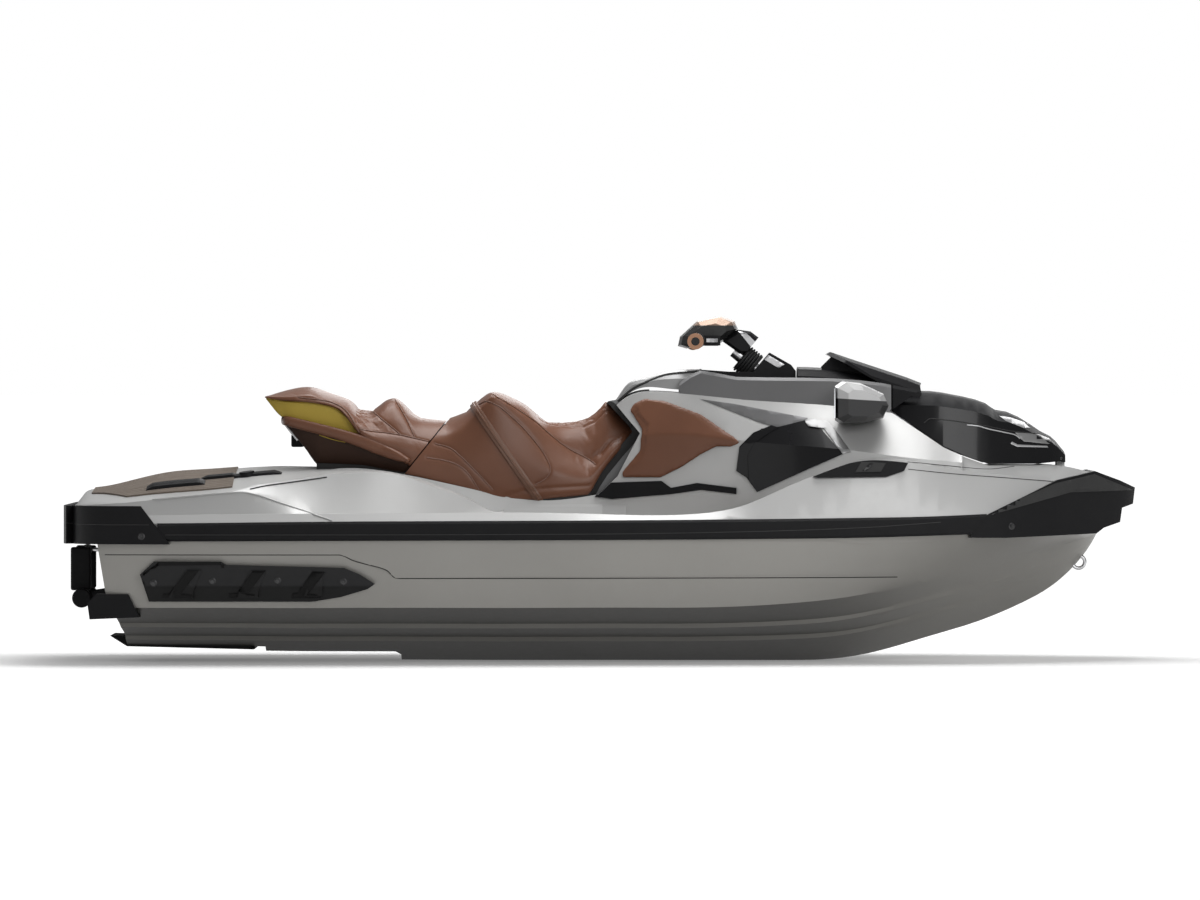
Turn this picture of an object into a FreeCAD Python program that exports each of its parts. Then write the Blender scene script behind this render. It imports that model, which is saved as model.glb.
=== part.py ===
"""Personal watercraft for three riders: moulded hull and deck, jet pump, seats, storage lids, handlebar.

Modelled with X forward from the stern bumper, Y to port and Z up from the keel, then every piece is
placed so that the origin lies amidships on the centreline at the waterline.
"""

import FreeCAD, Part
import math
import os

import Sketcher

Vector = FreeCAD.Vector
doc = FreeCAD.newDocument("watercraft")
sheet = doc.addObject("Spreadsheet::Sheet", "Sizes")
parts = []


class Size:
    """A length together with the spreadsheet expression that gives it."""

    def __init__(self, number, text):
        self.number = number
        self.text = text

    def __float__(self):
        return self.number

    def __add__(self, other):
        return Size(self.number + float(other), f"({self.text} + {words(other)})")

    def __radd__(self, other):
        return Size(float(other) + self.number, f"({words(other)} + {self.text})")

    def __sub__(self, other):
        return Size(self.number - float(other), f"({self.text} - {words(other)})")

    def __rsub__(self, other):
        return Size(float(other) - self.number, f"({words(other)} - {self.text})")

    def __mul__(self, share):
        return Size(self.number * float(share), f"({self.text} * {words(share)})")

    def __truediv__(self, share):
        return Size(self.number / float(share), f"({self.text} / {words(share)})")

    def __neg__(self):
        return Size(-self.number, f"(0 - {self.text})")


def words(value):
    return value.text if isinstance(value, Size) else repr(float(value))


def size(alias, number):
    """Keeps one driving dimension in the spreadsheet and gives it back."""
    cell = f"A{size.row}"
    size.row += 1
    sheet.set(cell, str(number))
    sheet.setAlias(cell, alias)
    return Size(float(number), f"Sizes.{alias}")


size.row = 1

# Overall sizes, in millimetres
length_overall = size("length_overall", 3450)
half_beam = size("half_beam", 627)
height_overall = size("height_overall", 1117)
draft = size("draft", 250)
joint_height = size("joint_height", 425)
seam_gap = size("seam_gap", 5)
running_gap = size("running_gap", 0.05)
shift = (-length_overall / 2, 0, -draft)
far = float(length_overall)


# Tools for the freeform mouldings


def along(share):
    """A place along the craft, from its share of the overall length."""
    return float(length_overall) * share


def up(share):
    """A height above the keel, from its share of the overall height."""
    return float(height_overall) * share


def out(share):
    """A half breadth, from its share of half the beam."""
    return float(half_beam) * share


def slope(table, i):
    """The slope of a fair line at its point i, flat at a peak so that the line doesn't overshoot."""
    if i == 0 or i == len(table) - 1:
        a, b = (0, 1) if i == 0 else (-2, -1)
        return (table[b][1] - table[a][1]) / (table[b][0] - table[a][0])
    h0, h1 = table[i][0] - table[i - 1][0], table[i + 1][0] - table[i][0]
    d0 = (table[i][1] - table[i - 1][1]) / h0
    d1 = (table[i + 1][1] - table[i][1]) / h1
    if d0 * d1 <= 0:
        return 0.0
    w0, w1 = 2 * h1 + h0, h1 + 2 * h0
    return (w0 + w1) / (w0 / d0 + w1 / d1)


def fair(shares, across):
    """A fair line through a table of (share of the length, share across), as a function of the place along."""

    def at(x):
        u = x / float(length_overall)
        u = min(max(u, shares[0][0]), shares[-1][0])
        i = max(k for k in range(len(shares) - 1) if shares[k][0] <= u or k == 0)
        (u0, v0), (u1, v1) = shares[i], shares[i + 1]
        t = (u - u0) / (u1 - u0)
        m0, m1 = slope(shares, i) * (u1 - u0), slope(shares, i + 1) * (u1 - u0)
        a, b = 2 * t**3 - 3 * t**2 + 1, t**3 - 2 * t**2 + t
        return across(a * v0 + b * m0 + (3 * t**2 - 2 * t**3) * v1 + (t**3 - t**2) * m1)

    return at


def closed_wire(x, ring):
    """A closed section across the craft at x. A third value in a point makes it the middle of an arc."""
    points = [Vector(x, p[0], p[1]) for p in ring]
    edges, i, n = [], 0, len(ring)
    while i < n:
        if len(ring[(i + 1) % n]) > 2:
            edges.append(Part.Arc(points[i], points[(i + 1) % n], points[(i + 2) % n]).toShape())
            i += 2
        else:
            edges.append(Part.LineSegment(points[i], points[(i + 1) % n]).toShape())
            i += 1
    return Part.Wire(edges)


def mirrored(half):
    """The whole ring of a section from its port half, which runs from top centre to bottom centre."""
    return half + [(-p[0],) + tuple(p[1:]) for p in reversed(half[1:-1])]


def loft(stations, ring, ruled=False):
    """A solid through the sections that ring gives at each station along the craft."""
    return Part.makeLoft([closed_wire(x, ring(x)) for x in stations], True, ruled)


def outline(shares):
    """Side-view points from shares of the length and height."""
    return [(along(a), up(b)) for a, b in shares]


def side_prism(points, y0, y1):
    """A side-view outline with thickness from y0 to y1."""
    wire = Part.makePolygon([Vector(x, y0, z) for x, z in points + points[:1]])
    return Part.Face(wire).extrude(Vector(0, y1 - y0, 0))


def plan_prism(points, z0, z1):
    """A plan-view outline with height from z0 to z1."""
    wire = Part.makePolygon([Vector(x, y, z0) for x, y in points + points[:1]])
    return Part.Face(wire).extrude(Vector(0, 0, z1 - z0))


def block(x0, x1, y0, y1, z0, z1):
    return Part.makeBox(x1 - x0, y1 - y0, z1 - z0, Vector(x0, y0, z0))


def both_sides(shape):
    return shape.fuse(shape.mirror(Vector(0, 0, 0), Vector(0, 1, 0)))


def other_side(shape):
    return shape.mirror(Vector(0, 0, 0), Vector(0, 1, 0))


# Tools for the pieces built as parametric features


def place(item, at, turn=None):
    """Puts a feature at a place in the craft, bound to the spreadsheet."""
    if turn is not None:
        item.Placement = FreeCAD.Placement(Vector(0, 0, 0), turn)
    for axis, value, offset in zip("xyz", at, shift):
        item.setExpression(f"Placement.Base.{axis}", words(offset + value))


def keep(item, label):
    """Names a finished sub-part, which is then written to its own file."""
    item.Label = label
    parts.append(item)
    return item


def moulding(label, shape):
    """A freeform sub-part, from a shape worked out in the craft's own frame."""
    item = doc.addObject("Part::Feature", label)
    item.Shape = shape
    item.Placement = FreeCAD.Placement(Vector(*(float(v) for v in shift)), FreeCAD.Rotation())
    return keep(item, label)


def sketch(body, role, points):
    """A closed outline on one of the body's origin planes, each corner bound to the spreadsheet."""
    item = body.newObject("Sketcher::SketchObject", body.Name + "_outline")
    plane = [f for f in body.Origin.OriginFeatures if f.Role == role][0]
    item.AttachmentSupport = (plane, [""])
    item.MapMode = "FlatFace"
    places = [Vector(float(u), float(v), 0) for u, v in points]
    n = len(places)
    for i in range(n):
        item.addGeometry(Part.LineSegment(places[i], places[(i + 1) % n]), False)
    for i in range(n):
        item.addConstraint(Sketcher.Constraint("Coincident", i, 2, (i + 1) % n, 1))
    for i in range(n):
        for kind, value, number in zip(("DistanceX", "DistanceY"), points[i], (places[i].x, places[i].y)):
            made = item.addConstraint(Sketcher.Constraint(kind, -1, 1, i, 1, number))
            if isinstance(value, Size):
                item.setExpression(f"Constraints[{made}]", value.text)
    return item


def new_body(label, at, turn=None):
    body = doc.addObject("PartDesign::Body", label)
    place(body, at, turn)
    return body


def pad(body, role, points, length, midplane=True, backwards=False):
    """Thickens an outline by a bound length."""
    item = body.newObject("PartDesign::Pad", body.Name + "_pad")
    item.Profile = sketch(body, role, points)
    item.setExpression("Length", words(length))
    item.Midplane = midplane
    item.Reversed = backwards
    return item


def pocket(body, role, points, length, midplane=True, backwards=False):
    """Cuts an outline out of a body by a bound length."""
    item = body.newObject("PartDesign::Pocket", body.Name + "_pocket")
    item.Profile = sketch(body, role, points)
    item.setExpression("Length", words(length))
    item.Midplane = midplane
    item.Reversed = backwards
    return item


def turned(body, role, points, axis="H_Axis"):
    """Revolves an outline about a sketch axis."""
    item = body.newObject("PartDesign::Revolution", body.Name + "_turned")
    item.Profile = sketch(body, role, points)
    item.ReferenceAxis = (item.Profile[0], [axis])
    item.Angle = 360
    return item


def box(name, lx, ly, lz, at, turn=None):
    item = doc.addObject("Part::Box", name)
    for prop, value in (("Length", lx), ("Width", ly), ("Height", lz)):
        item.setExpression(prop, words(value))
    place(item, at, turn)
    return item


def cylinder(name, radius, height, at, turn=None):
    item = doc.addObject("Part::Cylinder", name)
    item.setExpression("Radius", words(radius))
    item.setExpression("Height", words(height))
    place(item, at, turn)
    return item


def cut(name, base, tool):
    item = doc.addObject("Part::Cut", name)
    item.Base = base
    item.Tool = tool
    return item


def fuse(name, shapes):
    item = doc.addObject("Part::MultiFuse", name)
    item.Shapes = shapes
    return item


along_y = FreeCAD.Rotation(Vector(1, 0, 0), -90)
along_x = FreeCAD.Rotation(Vector(0, 1, 0), 90)

# Hull and deck lines, as shares of the length with shares of the half beam or of the height
joint_line_shares = (
    (0.008, 0.638), (0.013, 0.750), (0.021, 0.821), (0.032, 0.874), (0.052, 0.912), (0.085, 0.941),
    (0.169, 0.960), (0.310, 0.976), (0.499, 0.976), (0.640, 0.949), (0.734, 0.893), (0.809, 0.810),
    (0.875, 0.686), (0.922, 0.550), (0.950, 0.418), (0.966, 0.279),
)
chine_breadth_shares = (
    (0.031, 0.829), (0.075, 0.869), (0.169, 0.893), (0.310, 0.903), (0.499, 0.896), (0.640, 0.845),
    (0.734, 0.737), (0.809, 0.582), (0.875, 0.391), (0.922, 0.231), (0.950, 0.128), (0.966, 0.048),
)
chine_height_shares = (
    (0.031, 0.164), (0.593, 0.165), (0.643, 0.170), (0.697, 0.182), (0.752, 0.205), (0.790, 0.232),
    (0.826, 0.254), (0.856, 0.278), (0.886, 0.302), (0.922, 0.330), (0.950, 0.352), (0.966, 0.3705),
)
keel_height_shares = (
    (0.031, 0.007), (0.175, 0.004), (0.310, 0.001), (0.536, 0.000), (0.687, 0.000), (0.715, 0.003),
    (0.734, 0.010), (0.753, 0.022), (0.771, 0.035), (0.790, 0.052), (0.809, 0.070), (0.828, 0.087),
    (0.847, 0.105), (0.865, 0.125), (0.884, 0.150), (0.903, 0.177), (0.922, 0.213), (0.941, 0.261),
    (0.955, 0.313), (0.966, 0.369),
)
rail_top_shares = (
    (0.008, 0.405), (0.089, 0.406), (0.245, 0.411), (0.517, 0.415), (0.734, 0.421), (0.800, 0.424),
    (0.858, 0.431), (0.922, 0.439), (0.966, 0.443),
)
rail_foot_shares = (
    (0.008, 0.352), (0.089, 0.354), (0.245, 0.356), (0.517, 0.359), (0.734, 0.364), (0.800, 0.369),
    (0.858, 0.374), (0.922, 0.379), (0.966, 0.3795),
)
crest_height_shares = (
    (0.008, 0.423), (0.089, 0.428), (0.245, 0.434), (0.593, 0.434), (0.611, 0.441), (0.630, 0.455),
    (0.649, 0.478), (0.677, 0.517), (0.701, 0.545), (0.734, 0.580), (0.762, 0.584), (0.785, 0.577),
    (0.828, 0.558), (0.869, 0.543), (0.921, 0.523), (0.966, 0.498),
)
crest_breadth_shares = (
    (0.008, 0.606), (0.013, 0.718), (0.021, 0.789), (0.032, 0.842), (0.052, 0.880), (0.085, 0.909),
    (0.169, 0.928), (0.310, 0.944), (0.499, 0.944), (0.640, 0.906), (0.677, 0.869), (0.708, 0.842),
    (0.734, 0.818), (0.785, 0.762), (0.828, 0.686), (0.869, 0.595), (0.921, 0.455), (0.966, 0.223),
)
inner_breadth_shares = (
    (0.008, 0.526), (0.032, 0.762), (0.085, 0.829), (0.169, 0.848), (0.310, 0.864), (0.499, 0.864),
    (0.640, 0.805), (0.677, 0.750), (0.708, 0.670), (0.734, 0.606), (0.785, 0.478), (0.818, 0.455),
    (0.861, 0.399), (0.889, 0.343), (0.921, 0.239), (0.966, 0.144),
)
inner_height_shares = (
    (0.008, 0.407), (0.089, 0.412), (0.245, 0.418), (0.593, 0.418), (0.630, 0.434), (0.649, 0.457),
    (0.677, 0.501), (0.708, 0.546), (0.734, 0.578), (0.762, 0.605), (0.785, 0.618), (0.818, 0.610),
    (0.861, 0.582), (0.889, 0.573), (0.921, 0.568), (0.966, 0.548),
)
joint_breadth = fair(joint_line_shares, out)
chine_breadth = fair(chine_breadth_shares, out)
chine_height = fair(chine_height_shares, up)
keel_height = fair(keel_height_shares, up)
rail_top = fair(rail_top_shares, up)
rail_foot = fair(rail_foot_shares, up)
crest_height = fair(crest_height_shares, up)
crest_breadth = fair(crest_breadth_shares, out)
inner_breadth = fair(inner_breadth_shares, out)
inner_height = fair(inner_height_shares, up)
joint_z = float(joint_height)

# Hull: a deep V bottom with two strakes a side, a hard chine and stepped side panels
side_bulge = size("side_bulge", 7)
strake_depth = size("strake_depth", 12)
panel_step = size("panel_step", 4)
strake_breadth_shares = (0.70, 0.68, 0.45, 0.43)
hull_station_shares = (
    0.031, 0.060, 0.105, 0.170, 0.260, 0.360, 0.460, 0.536, 0.593, 0.643, 0.690, 0.734, 0.771,
    0.809, 0.837, 0.865, 0.889, 0.912, 0.931, 0.950, 0.966,
)
upper_band_shares = (
    (-0.009, 0.523), (-0.009, 0.317), (0.259, 0.317), (0.302, 0.270), (0.310, 0.250), (0.776, 0.260),
    (0.801, 0.230), (0.988, 0.230), (0.988, 0.523),
)
bow_band_shares = (
    (0.677, 0.366), (0.743, 0.346), (0.809, 0.352), (0.865, 0.349), (0.894, 0.334), (0.906, 0.320),
    (0.934, 0.262), (0.988, 0.247), (0.988, 0.523), (0.677, 0.523),
)


def hull_ring(inset):
    def ring(x):
        top, chine = joint_breadth(x) - inset, chine_breadth(x) - inset
        low, high = keel_height(x), chine_height(x)
        drop = float(strake_depth) * (joint_breadth(x) / out(1)) ** 2 * (high - low) / high

        def bottom(share, step=0.0):
            return (chine * share, low + (high - low) * share - step)

        a, b, c, d = strake_breadth_shares
        side = ((top + chine) / 2 + float(side_bulge), (joint_z + high) / 2, True)
        return mirrored(
            [(0, joint_z), (top, joint_z), side, (chine, high), bottom(a), bottom(b, drop), bottom(c)]
            + [bottom(d, drop), (0, low)]
        )

    return ring


hull_stations = [along(s) for s in hull_station_shares]
step = float(panel_step)
hull = loft(hull_stations, hull_ring(2 * step))
hull = hull.fuse(
    [
        loft(hull_stations, hull_ring(step)).common(side_prism(outline(upper_band_shares), -far, far)),
        loft(hull_stations, hull_ring(0)).common(side_prism(outline(bow_band_shares), -far, far)),
    ]
)
transom_rake_shares = (
    (-0.05, 0.45), (0.0312, 0.45), (0.0348, 0.334), (0.0414, 0.209), (0.055, 0.088), (0.062, -0.1),
    (-0.05, -0.1),
)
hull = hull.cut(side_prism(outline(transom_rake_shares), -far, far))

# Footwells, engine bay, pump tunnel, intake and storage bin, all opened in the mouldings
wall = size("wall", 6)
well_floor = size("well_floor", 360)
tunnel_half = size("tunnel_half", 160)
tunnel_top = size("tunnel_top", 345)
tunnel_length = size("tunnel_length", 640)
shaft_height = size("shaft_height", 200)
bay_rear = size("bay_rear", 1240)
bay_length = size("bay_length", 700)
bay_half = size("bay_half", 195)
bay_floor = size("bay_floor", 110)
bay_height = size("bay_height", 385)
duct_half = size("duct_half", 105)
shaft_radius = size("shaft_radius", 15)
well_plan_shares = (
    (0.315, 0.660), (0.405, 0.445), (0.460, 0.410), (0.500, 0.390), (0.574, 0.383), (0.632, 0.430),
    (0.632, 0.770), (0.560, 0.835), (0.480, 0.855), (0.340, 0.860), (0.315, 0.845),
)
duct_shares = (
    (0.150, 0.280), (0.190, 0.290), (0.200, 0.240), (0.312, 0.018), (0.312, -0.100), (0.185, -0.100),
    (0.185, 0.060), (0.175, 0.090), (0.150, 0.090),
)
bin_plan_shares = ((0.790, 0.319), (0.855, 0.303), (0.898, 0.175))
bin_floor = size("bin_floor", 385)
glove_plan_shares = ((0.545, 0.140), (0.582, 0.140))
glove_floor = size("glove_floor", 640)


def plan(shares):
    """Plan-view points from shares of the length and half beam."""
    return [(along(a), out(b)) for a, b in shares]


def grown(points, by):
    """A plan outline with every corner moved outwards by the same distance."""
    wire = Part.makePolygon([Vector(x, y, 0) for x, y in points + points[:1]])
    return [(p.X, p.Y) for p in wire.makeOffset2D(by, 2).Vertexes]


well_plan = plan(well_plan_shares)
well_outer = both_sides(plan_prism(grown(well_plan, float(wall)), float(well_floor) - float(wall), joint_z))
well_inner = both_sides(plan_prism(well_plan, float(well_floor), joint_z * 2))
engine_bay = block(
    float(bay_rear), float(bay_rear + bay_length), -float(bay_half), float(bay_half), float(bay_floor),
    float(bay_floor + bay_height),
)
bin_half = plan(bin_plan_shares)
storage_bin = plan_prism(bin_half + [(x, -y) for x, y in reversed(bin_half)], float(bin_floor), up(1))
glove_half = plan(glove_plan_shares)
glove_bin = plan_prism(glove_half + [(x, -y) for x, y in reversed(glove_half)], float(glove_floor), up(1))
tunnel = block(-far, float(tunnel_length), -float(tunnel_half), float(tunnel_half), -far, float(tunnel_top))
duct = side_prism(outline(duct_shares), -float(duct_half), float(duct_half))
shaft_start = Vector(float(tunnel_length), 0, float(shaft_height))
shaft_bore = float(shaft_radius + running_gap)
shaft_hole = Part.makeCylinder(shaft_bore, float(bay_length), shaft_start, Vector(1, 0, 0))
hull = hull.cut([well_outer, engine_bay, tunnel, duct, storage_bin, shaft_hole])
moulding("hull", hull)

# Deck: gunwales and front body, stern quarters, platform, seat pedestal and console in one moulding
crest_lip = size("crest_lip", 30)
deck_lap = size("deck_lap", 5)
pedestal_flare = size("pedestal_flare", 25)
console_crown = size("console_crown", 8)
quarter_height_shares = (
    (0.008, 0.442), (0.025, 0.456), (0.056, 0.463), (0.165, 0.493), (0.178, 0.490), (0.216, 0.455),
    (0.253, 0.410), (0.296, 0.399), (0.409, 0.392),
)
quarter_breadth_shares = (
    (0.008, 0.526), (0.011, 0.654), (0.025, 0.756), (0.056, 0.820), (0.122, 0.848), (0.165, 0.852),
    (0.216, 0.853), (0.253, 0.805), (0.296, 0.715), (0.348, 0.619), (0.409, 0.478),
)
quarter_foot_shares = (
    (0.008, 0.581), (0.011, 0.665), (0.025, 0.785), (0.056, 0.861), (0.122, 0.896), (0.165, 0.906),
    (0.216, 0.912), (0.253, 0.885), (0.296, 0.742), (0.348, 0.641), (0.409, 0.501),
)
quarter_foot_height_shares = (
    (0.008, 0.417), (0.165, 0.424), (0.216, 0.423), (0.253, 0.399), (0.296, 0.391), (0.409, 0.389),
)
platform_crown_shares = (
    (0.008, 0.458), (0.013, 0.483), (0.024, 0.498), (0.032, 0.501), (0.056, 0.517), (0.075, 0.534),
    (0.094, 0.543), (0.132, 0.552), (0.169, 0.560), (0.198, 0.564), (0.235, 0.562), (0.296, 0.553),
    (0.348, 0.512), (0.376, 0.474), (0.409, 0.444),
)
wing_edge_height_shares = (
    (0.008, 0.448), (0.025, 0.461), (0.056, 0.468), (0.165, 0.500), (0.178, 0.511), (0.216, 0.529),
    (0.254, 0.546), (0.296, 0.550), (0.310, 0.543), (0.348, 0.503), (0.376, 0.471), (0.409, 0.439),
)
wing_edge_breadth_shares = (
    (0.008, 0.478), (0.011, 0.638), (0.025, 0.737), (0.056, 0.797), (0.122, 0.829), (0.165, 0.833),
    (0.178, 0.797), (0.216, 0.750), (0.254, 0.702), (0.296, 0.654), (0.348, 0.558), (0.409, 0.418),
)
pedestal_height_shares = (
    (0.240, 0.552), (0.296, 0.552), (0.315, 0.541), (0.357, 0.517), (0.386, 0.494), (0.405, 0.480),
    (0.442, 0.466), (0.461, 0.469), (0.491, 0.480), (0.550, 0.483),
)
pedestal_breadth_shares = (
    (0.240, 0.319), (0.310, 0.319), (0.423, 0.295), (0.499, 0.279), (0.550, 0.279),
)
console_height_shares = (
    (0.489, 0.722), (0.511, 0.736), (0.525, 0.768), (0.536, 0.788), (0.574, 0.782), (0.630, 0.765),
    (0.715, 0.747), (0.771, 0.726), (0.786, 0.720), (0.835, 0.700),
)
console_breadth_shares = (
    (0.489, 0.159), (0.511, 0.175), (0.525, 0.211), (0.536, 0.239), (0.574, 0.279), (0.630, 0.327),
    (0.715, 0.423), (0.786, 0.455), (0.835, 0.432),
)
console_waist_shares = (
    (0.489, 0.239), (0.536, 0.319), (0.574, 0.359), (0.630, 0.423), (0.677, 0.526), (0.715, 0.622),
    (0.786, 0.670), (0.835, 0.625),
)
console_waist_height_shares = (
    (0.489, 0.618), (0.536, 0.654), (0.574, 0.658), (0.630, 0.640), (0.677, 0.627), (0.715, 0.618),
    (0.786, 0.591), (0.835, 0.577),
)
console_foot_shares = (
    (0.489, 0.295), (0.536, 0.327), (0.574, 0.343), (0.630, 0.383), (0.677, 0.526), (0.715, 0.638),
    (0.786, 0.686), (0.835, 0.640),
)
seat_bay_outline_shares = (
    (0.456, 0.872), (0.510, 0.872), (0.510, 0.756), (0.536, 0.660), (0.515, 0.535), (0.493, 0.471),
    (0.456, 0.468),
)
hood_zone_outline_shares = (
    (0.770, 0.726), (0.797, 0.785), (0.797, 0.959), (0.969, 0.959), (0.969, 0.575), (0.937, 0.575),
    (0.927, 0.578), (0.908, 0.572), (0.889, 0.572), (0.861, 0.572), (0.839, 0.596), (0.818, 0.625),
)
quarter_height = fair(quarter_height_shares, up)
quarter_breadth = fair(quarter_breadth_shares, out)
quarter_foot = fair(quarter_foot_shares, out)
quarter_foot_height = fair(quarter_foot_height_shares, up)
platform_crown = fair(platform_crown_shares, up)
wing_edge_height = fair(wing_edge_height_shares, up)
wing_edge_breadth = fair(wing_edge_breadth_shares, out)
pedestal_height = fair(pedestal_height_shares, up)
pedestal_breadth = fair(pedestal_breadth_shares, out)
console_height = fair(console_height_shares, up)
console_breadth = fair(console_breadth_shares, out)
console_waist = fair(console_waist_shares, out)
console_waist_height = fair(console_waist_height_shares, up)
console_foot = fair(console_foot_shares, out)
foot_z = joint_z + float(deck_lap)


def gunwale_ring(x):
    crest = (crest_breadth(x), crest_height(x))
    return mirrored(
        [(0, inner_height(x)), (inner_breadth(x), inner_height(x))]
        + [(crest[0] - float(crest_lip), crest[1]), crest, (joint_breadth(x), rail_top(x))]
        + [(joint_breadth(x), joint_z), (0, joint_z)]
    )


def platform_ring(x):
    edge, high, crown = wing_edge_breadth(x), wing_edge_height(x), platform_crown(x)
    return mirrored(
        [(0, crown), (edge * 0.62, crown * 0.55 + high * 0.45), (edge, high)]
        + [(quarter_breadth(x), quarter_height(x)), (quarter_foot(x), quarter_foot_height(x))]
        + [(quarter_foot(x), foot_z), (0, foot_z)]
    )


def pedestal_ring(x):
    return mirrored(
        [(0, pedestal_height(x)), (pedestal_breadth(x), pedestal_height(x))]
        + [(pedestal_breadth(x) + float(pedestal_flare), foot_z), (0, foot_z)]
    )


def console_ring(x):
    return mirrored(
        [(0, console_height(x)), (console_breadth(x), console_height(x) - float(console_crown))]
        + [(console_waist(x), console_waist_height(x)), (console_foot(x), foot_z), (0, foot_z)]
    )


gunwale_stations = (
    0.008, 0.014, 0.022, 0.034, 0.056, 0.089, 0.169, 0.310, 0.480, 0.593, 0.611, 0.630, 0.649, 0.677,
    0.708, 0.734, 0.762, 0.785, 0.828, 0.869, 0.905, 0.940, 0.966,
)
platform_stations = (
    0.008, 0.014, 0.024, 0.032, 0.056, 0.094, 0.132, 0.162, 0.180, 0.197, 0.216, 0.235, 0.254, 0.275,
    0.296, 0.325, 0.348, 0.376, 0.409,
)
console_stations = (0.489, 0.511, 0.530, 0.552, 0.574, 0.602, 0.630, 0.677, 0.715, 0.750, 0.786, 0.810, 0.835)
gunwale = loft([along(s) for s in gunwale_stations], gunwale_ring)
gunwale = gunwale.fuse(well_outer).cut(well_inner)
platform = loft([along(s) for s in platform_stations], platform_ring)
pedestal = loft([along(s) for s in (0.240, 0.296, 0.330, 0.386, 0.442, 0.491, 0.550)], pedestal_ring)
console = loft([along(s) for s in console_stations], console_ring)
console = console.cut(side_prism(outline(seat_bay_outline_shares), -far, far))
hood_zone = side_prism(outline(hood_zone_outline_shares), -far, far)
clear = float(seam_gap)
hood_bed = hood_zone.fuse([hood_zone.translated(Vector(-clear, 0, 0)), hood_zone.translated(Vector(0, 0, -clear))])
deck = gunwale.fuse([platform, pedestal, console])
deck = deck.cut([engine_bay, storage_bin, glove_bin, hood_bed])
hinge_pin = size("hinge_pin", 5)
lug_half = size("lug_half", 12)
lug_inner = size("lug_inner", 60)
lug_outer = size("lug_outer", 70)
lug_head = size("lug_head", 10)
lug_foot = size("lug_foot", 60)
pin_reach = size("pin_reach", 15)
hinge_x_share, hinge_z_share = 0.9313, 0.5873
hinge_x, hinge_z = along(hinge_x_share), up(hinge_z_share)
lug = block(
    hinge_x - float(lug_half), hinge_x + float(lug_half), float(lug_inner), float(lug_outer),
    joint_z + float(lug_foot), hinge_z + float(lug_head),
)
pin_start = Vector(hinge_x, float(lug_inner - pin_reach), hinge_z)
pin_length = float(lug_outer - lug_inner + pin_reach * 2)
lug = lug.fuse(Part.makeCylinder(float(hinge_pin), pin_length, pin_start, Vector(0, 1, 0)))
deck = deck.fuse(both_sides(lug))
moulding("deck", deck)

# Pieces that wrap the stern, the sides and the bow
bumper_proud = size("bumper_proud", 18)
bumper_depth = size("bumper_depth", 26)
rail_root = size("rail_root", 8)
rail_bevel = size("rail_bevel", 8)
bow_wall_front = size("bow_wall_front", 60)
bow_wall_side = size("bow_wall_side", 42)
rail_proud = size("rail_proud", 15)
stern_wrap_shares = ((0.0, 0.560), (0.001, 0.660), (0.004, 0.745))
stern_bumper_side_shares = ((-0.010, 0.346), (0.102, 0.346), (0.075, 0.455), (-0.010, 0.455))
bow_bumper_side_shares = (
    (0.840, 0.363), (0.858, 0.430), (0.924, 0.526), (0.960, 0.552), (0.985, 0.524), (1.000, 0.503),
    (0.998, 0.456), (0.987, 0.445), (0.985, 0.404), (0.969, 0.388), (0.962, 0.372), (0.875, 0.362),
)
bow_plan_shares = (
    (0.835, 0.775), (0.875, 0.710), (0.922, 0.582), (0.950, 0.470), (0.978, 0.343), (0.992, 0.263),
    (1.000, 0.191),
)


def port_piece(shape, low=1.0):
    """The largest solid of a shape on the port side."""
    port = [s for s in shape.Solids if s.CenterOfMass.y > low]
    return max(port, key=lambda s: s.Volume)


def largest(shape):
    return max(shape.Solids, key=lambda s: s.Volume)


def pair(label, shape):
    """Keeps a port piece and its starboard twin."""
    moulding(label + "_left", shape)
    moulding(label + "_right", other_side(shape))


def symmetric_plan(half):
    return half + [(x, -y) for x, y in reversed(half)]


stern_half = plan(stern_wrap_shares)
for share in (0.010, 0.014, 0.022, 0.034, 0.056, 0.080, 0.110):
    stern_half.append((along(share), joint_breadth(along(share)) + float(bumper_proud)))
stern_outer = symmetric_plan(stern_half)
stern_inner = grown(stern_outer, -float(bumper_depth))
stern_ring = plan_prism(stern_outer, up(0.3), up(0.5)).cut(
    plan_prism(stern_inner, up(0.2), up(0.6)).fuse(block(along(0.105), far, -far, far, 0, up(1)))
)
stern_bumper = stern_ring.common(side_prism(outline(stern_bumper_side_shares), -far, far)).cut([hull, deck])
moulding("stern_bumper", largest(stern_bumper))


def rail_ring(x):
    edge, top, foot = joint_breadth(x), rail_top(x), rail_foot(x)
    root, shoulder, face = edge - float(rail_root), edge + float(rail_proud) * 0.6, edge + float(rail_proud)
    bevel = float(rail_bevel)
    upper = [(root, top), (shoulder, top), (face, top - bevel)]
    return upper + [(face, foot + bevel), (shoulder, foot), (root, foot)]


rail_station_shares = (0.0905, 0.150, 0.245, 0.360, 0.480, 0.593, 0.677, 0.734, 0.785, 0.830, 0.857)
bumper_zones = [side_prism(outline(s), -far, far) for s in (stern_bumper_side_shares, bow_bumper_side_shares)]
rub_rail = loft([along(s) for s in rail_station_shares], rail_ring).cut([hull, deck] + bumper_zones)
pair("rub_rail", port_piece(rub_rail))

bow_outer = symmetric_plan(plan(bow_plan_shares))
bow_inner_plan = [
    (along(a) - float(bow_wall_front) * (a > 0.9), out(b) - float(bow_wall_side))
    for a, b in bow_plan_shares[:-1]
]
bow_inner = symmetric_plan(bow_inner_plan)
bow_band = side_prism(outline(bow_bumper_side_shares), -far, far).common(plan_prism(bow_outer, 0, up(1)))
bow_top_hollow = plan_prism(bow_inner, up(0.30), up(1)).common(block(0, along(0.958), -far, far, 0, up(1)))
bow_bumper = largest(bow_band.cut([hull, deck, bow_top_hollow]))
moulding("bow_bumper", bow_bumper)

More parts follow.
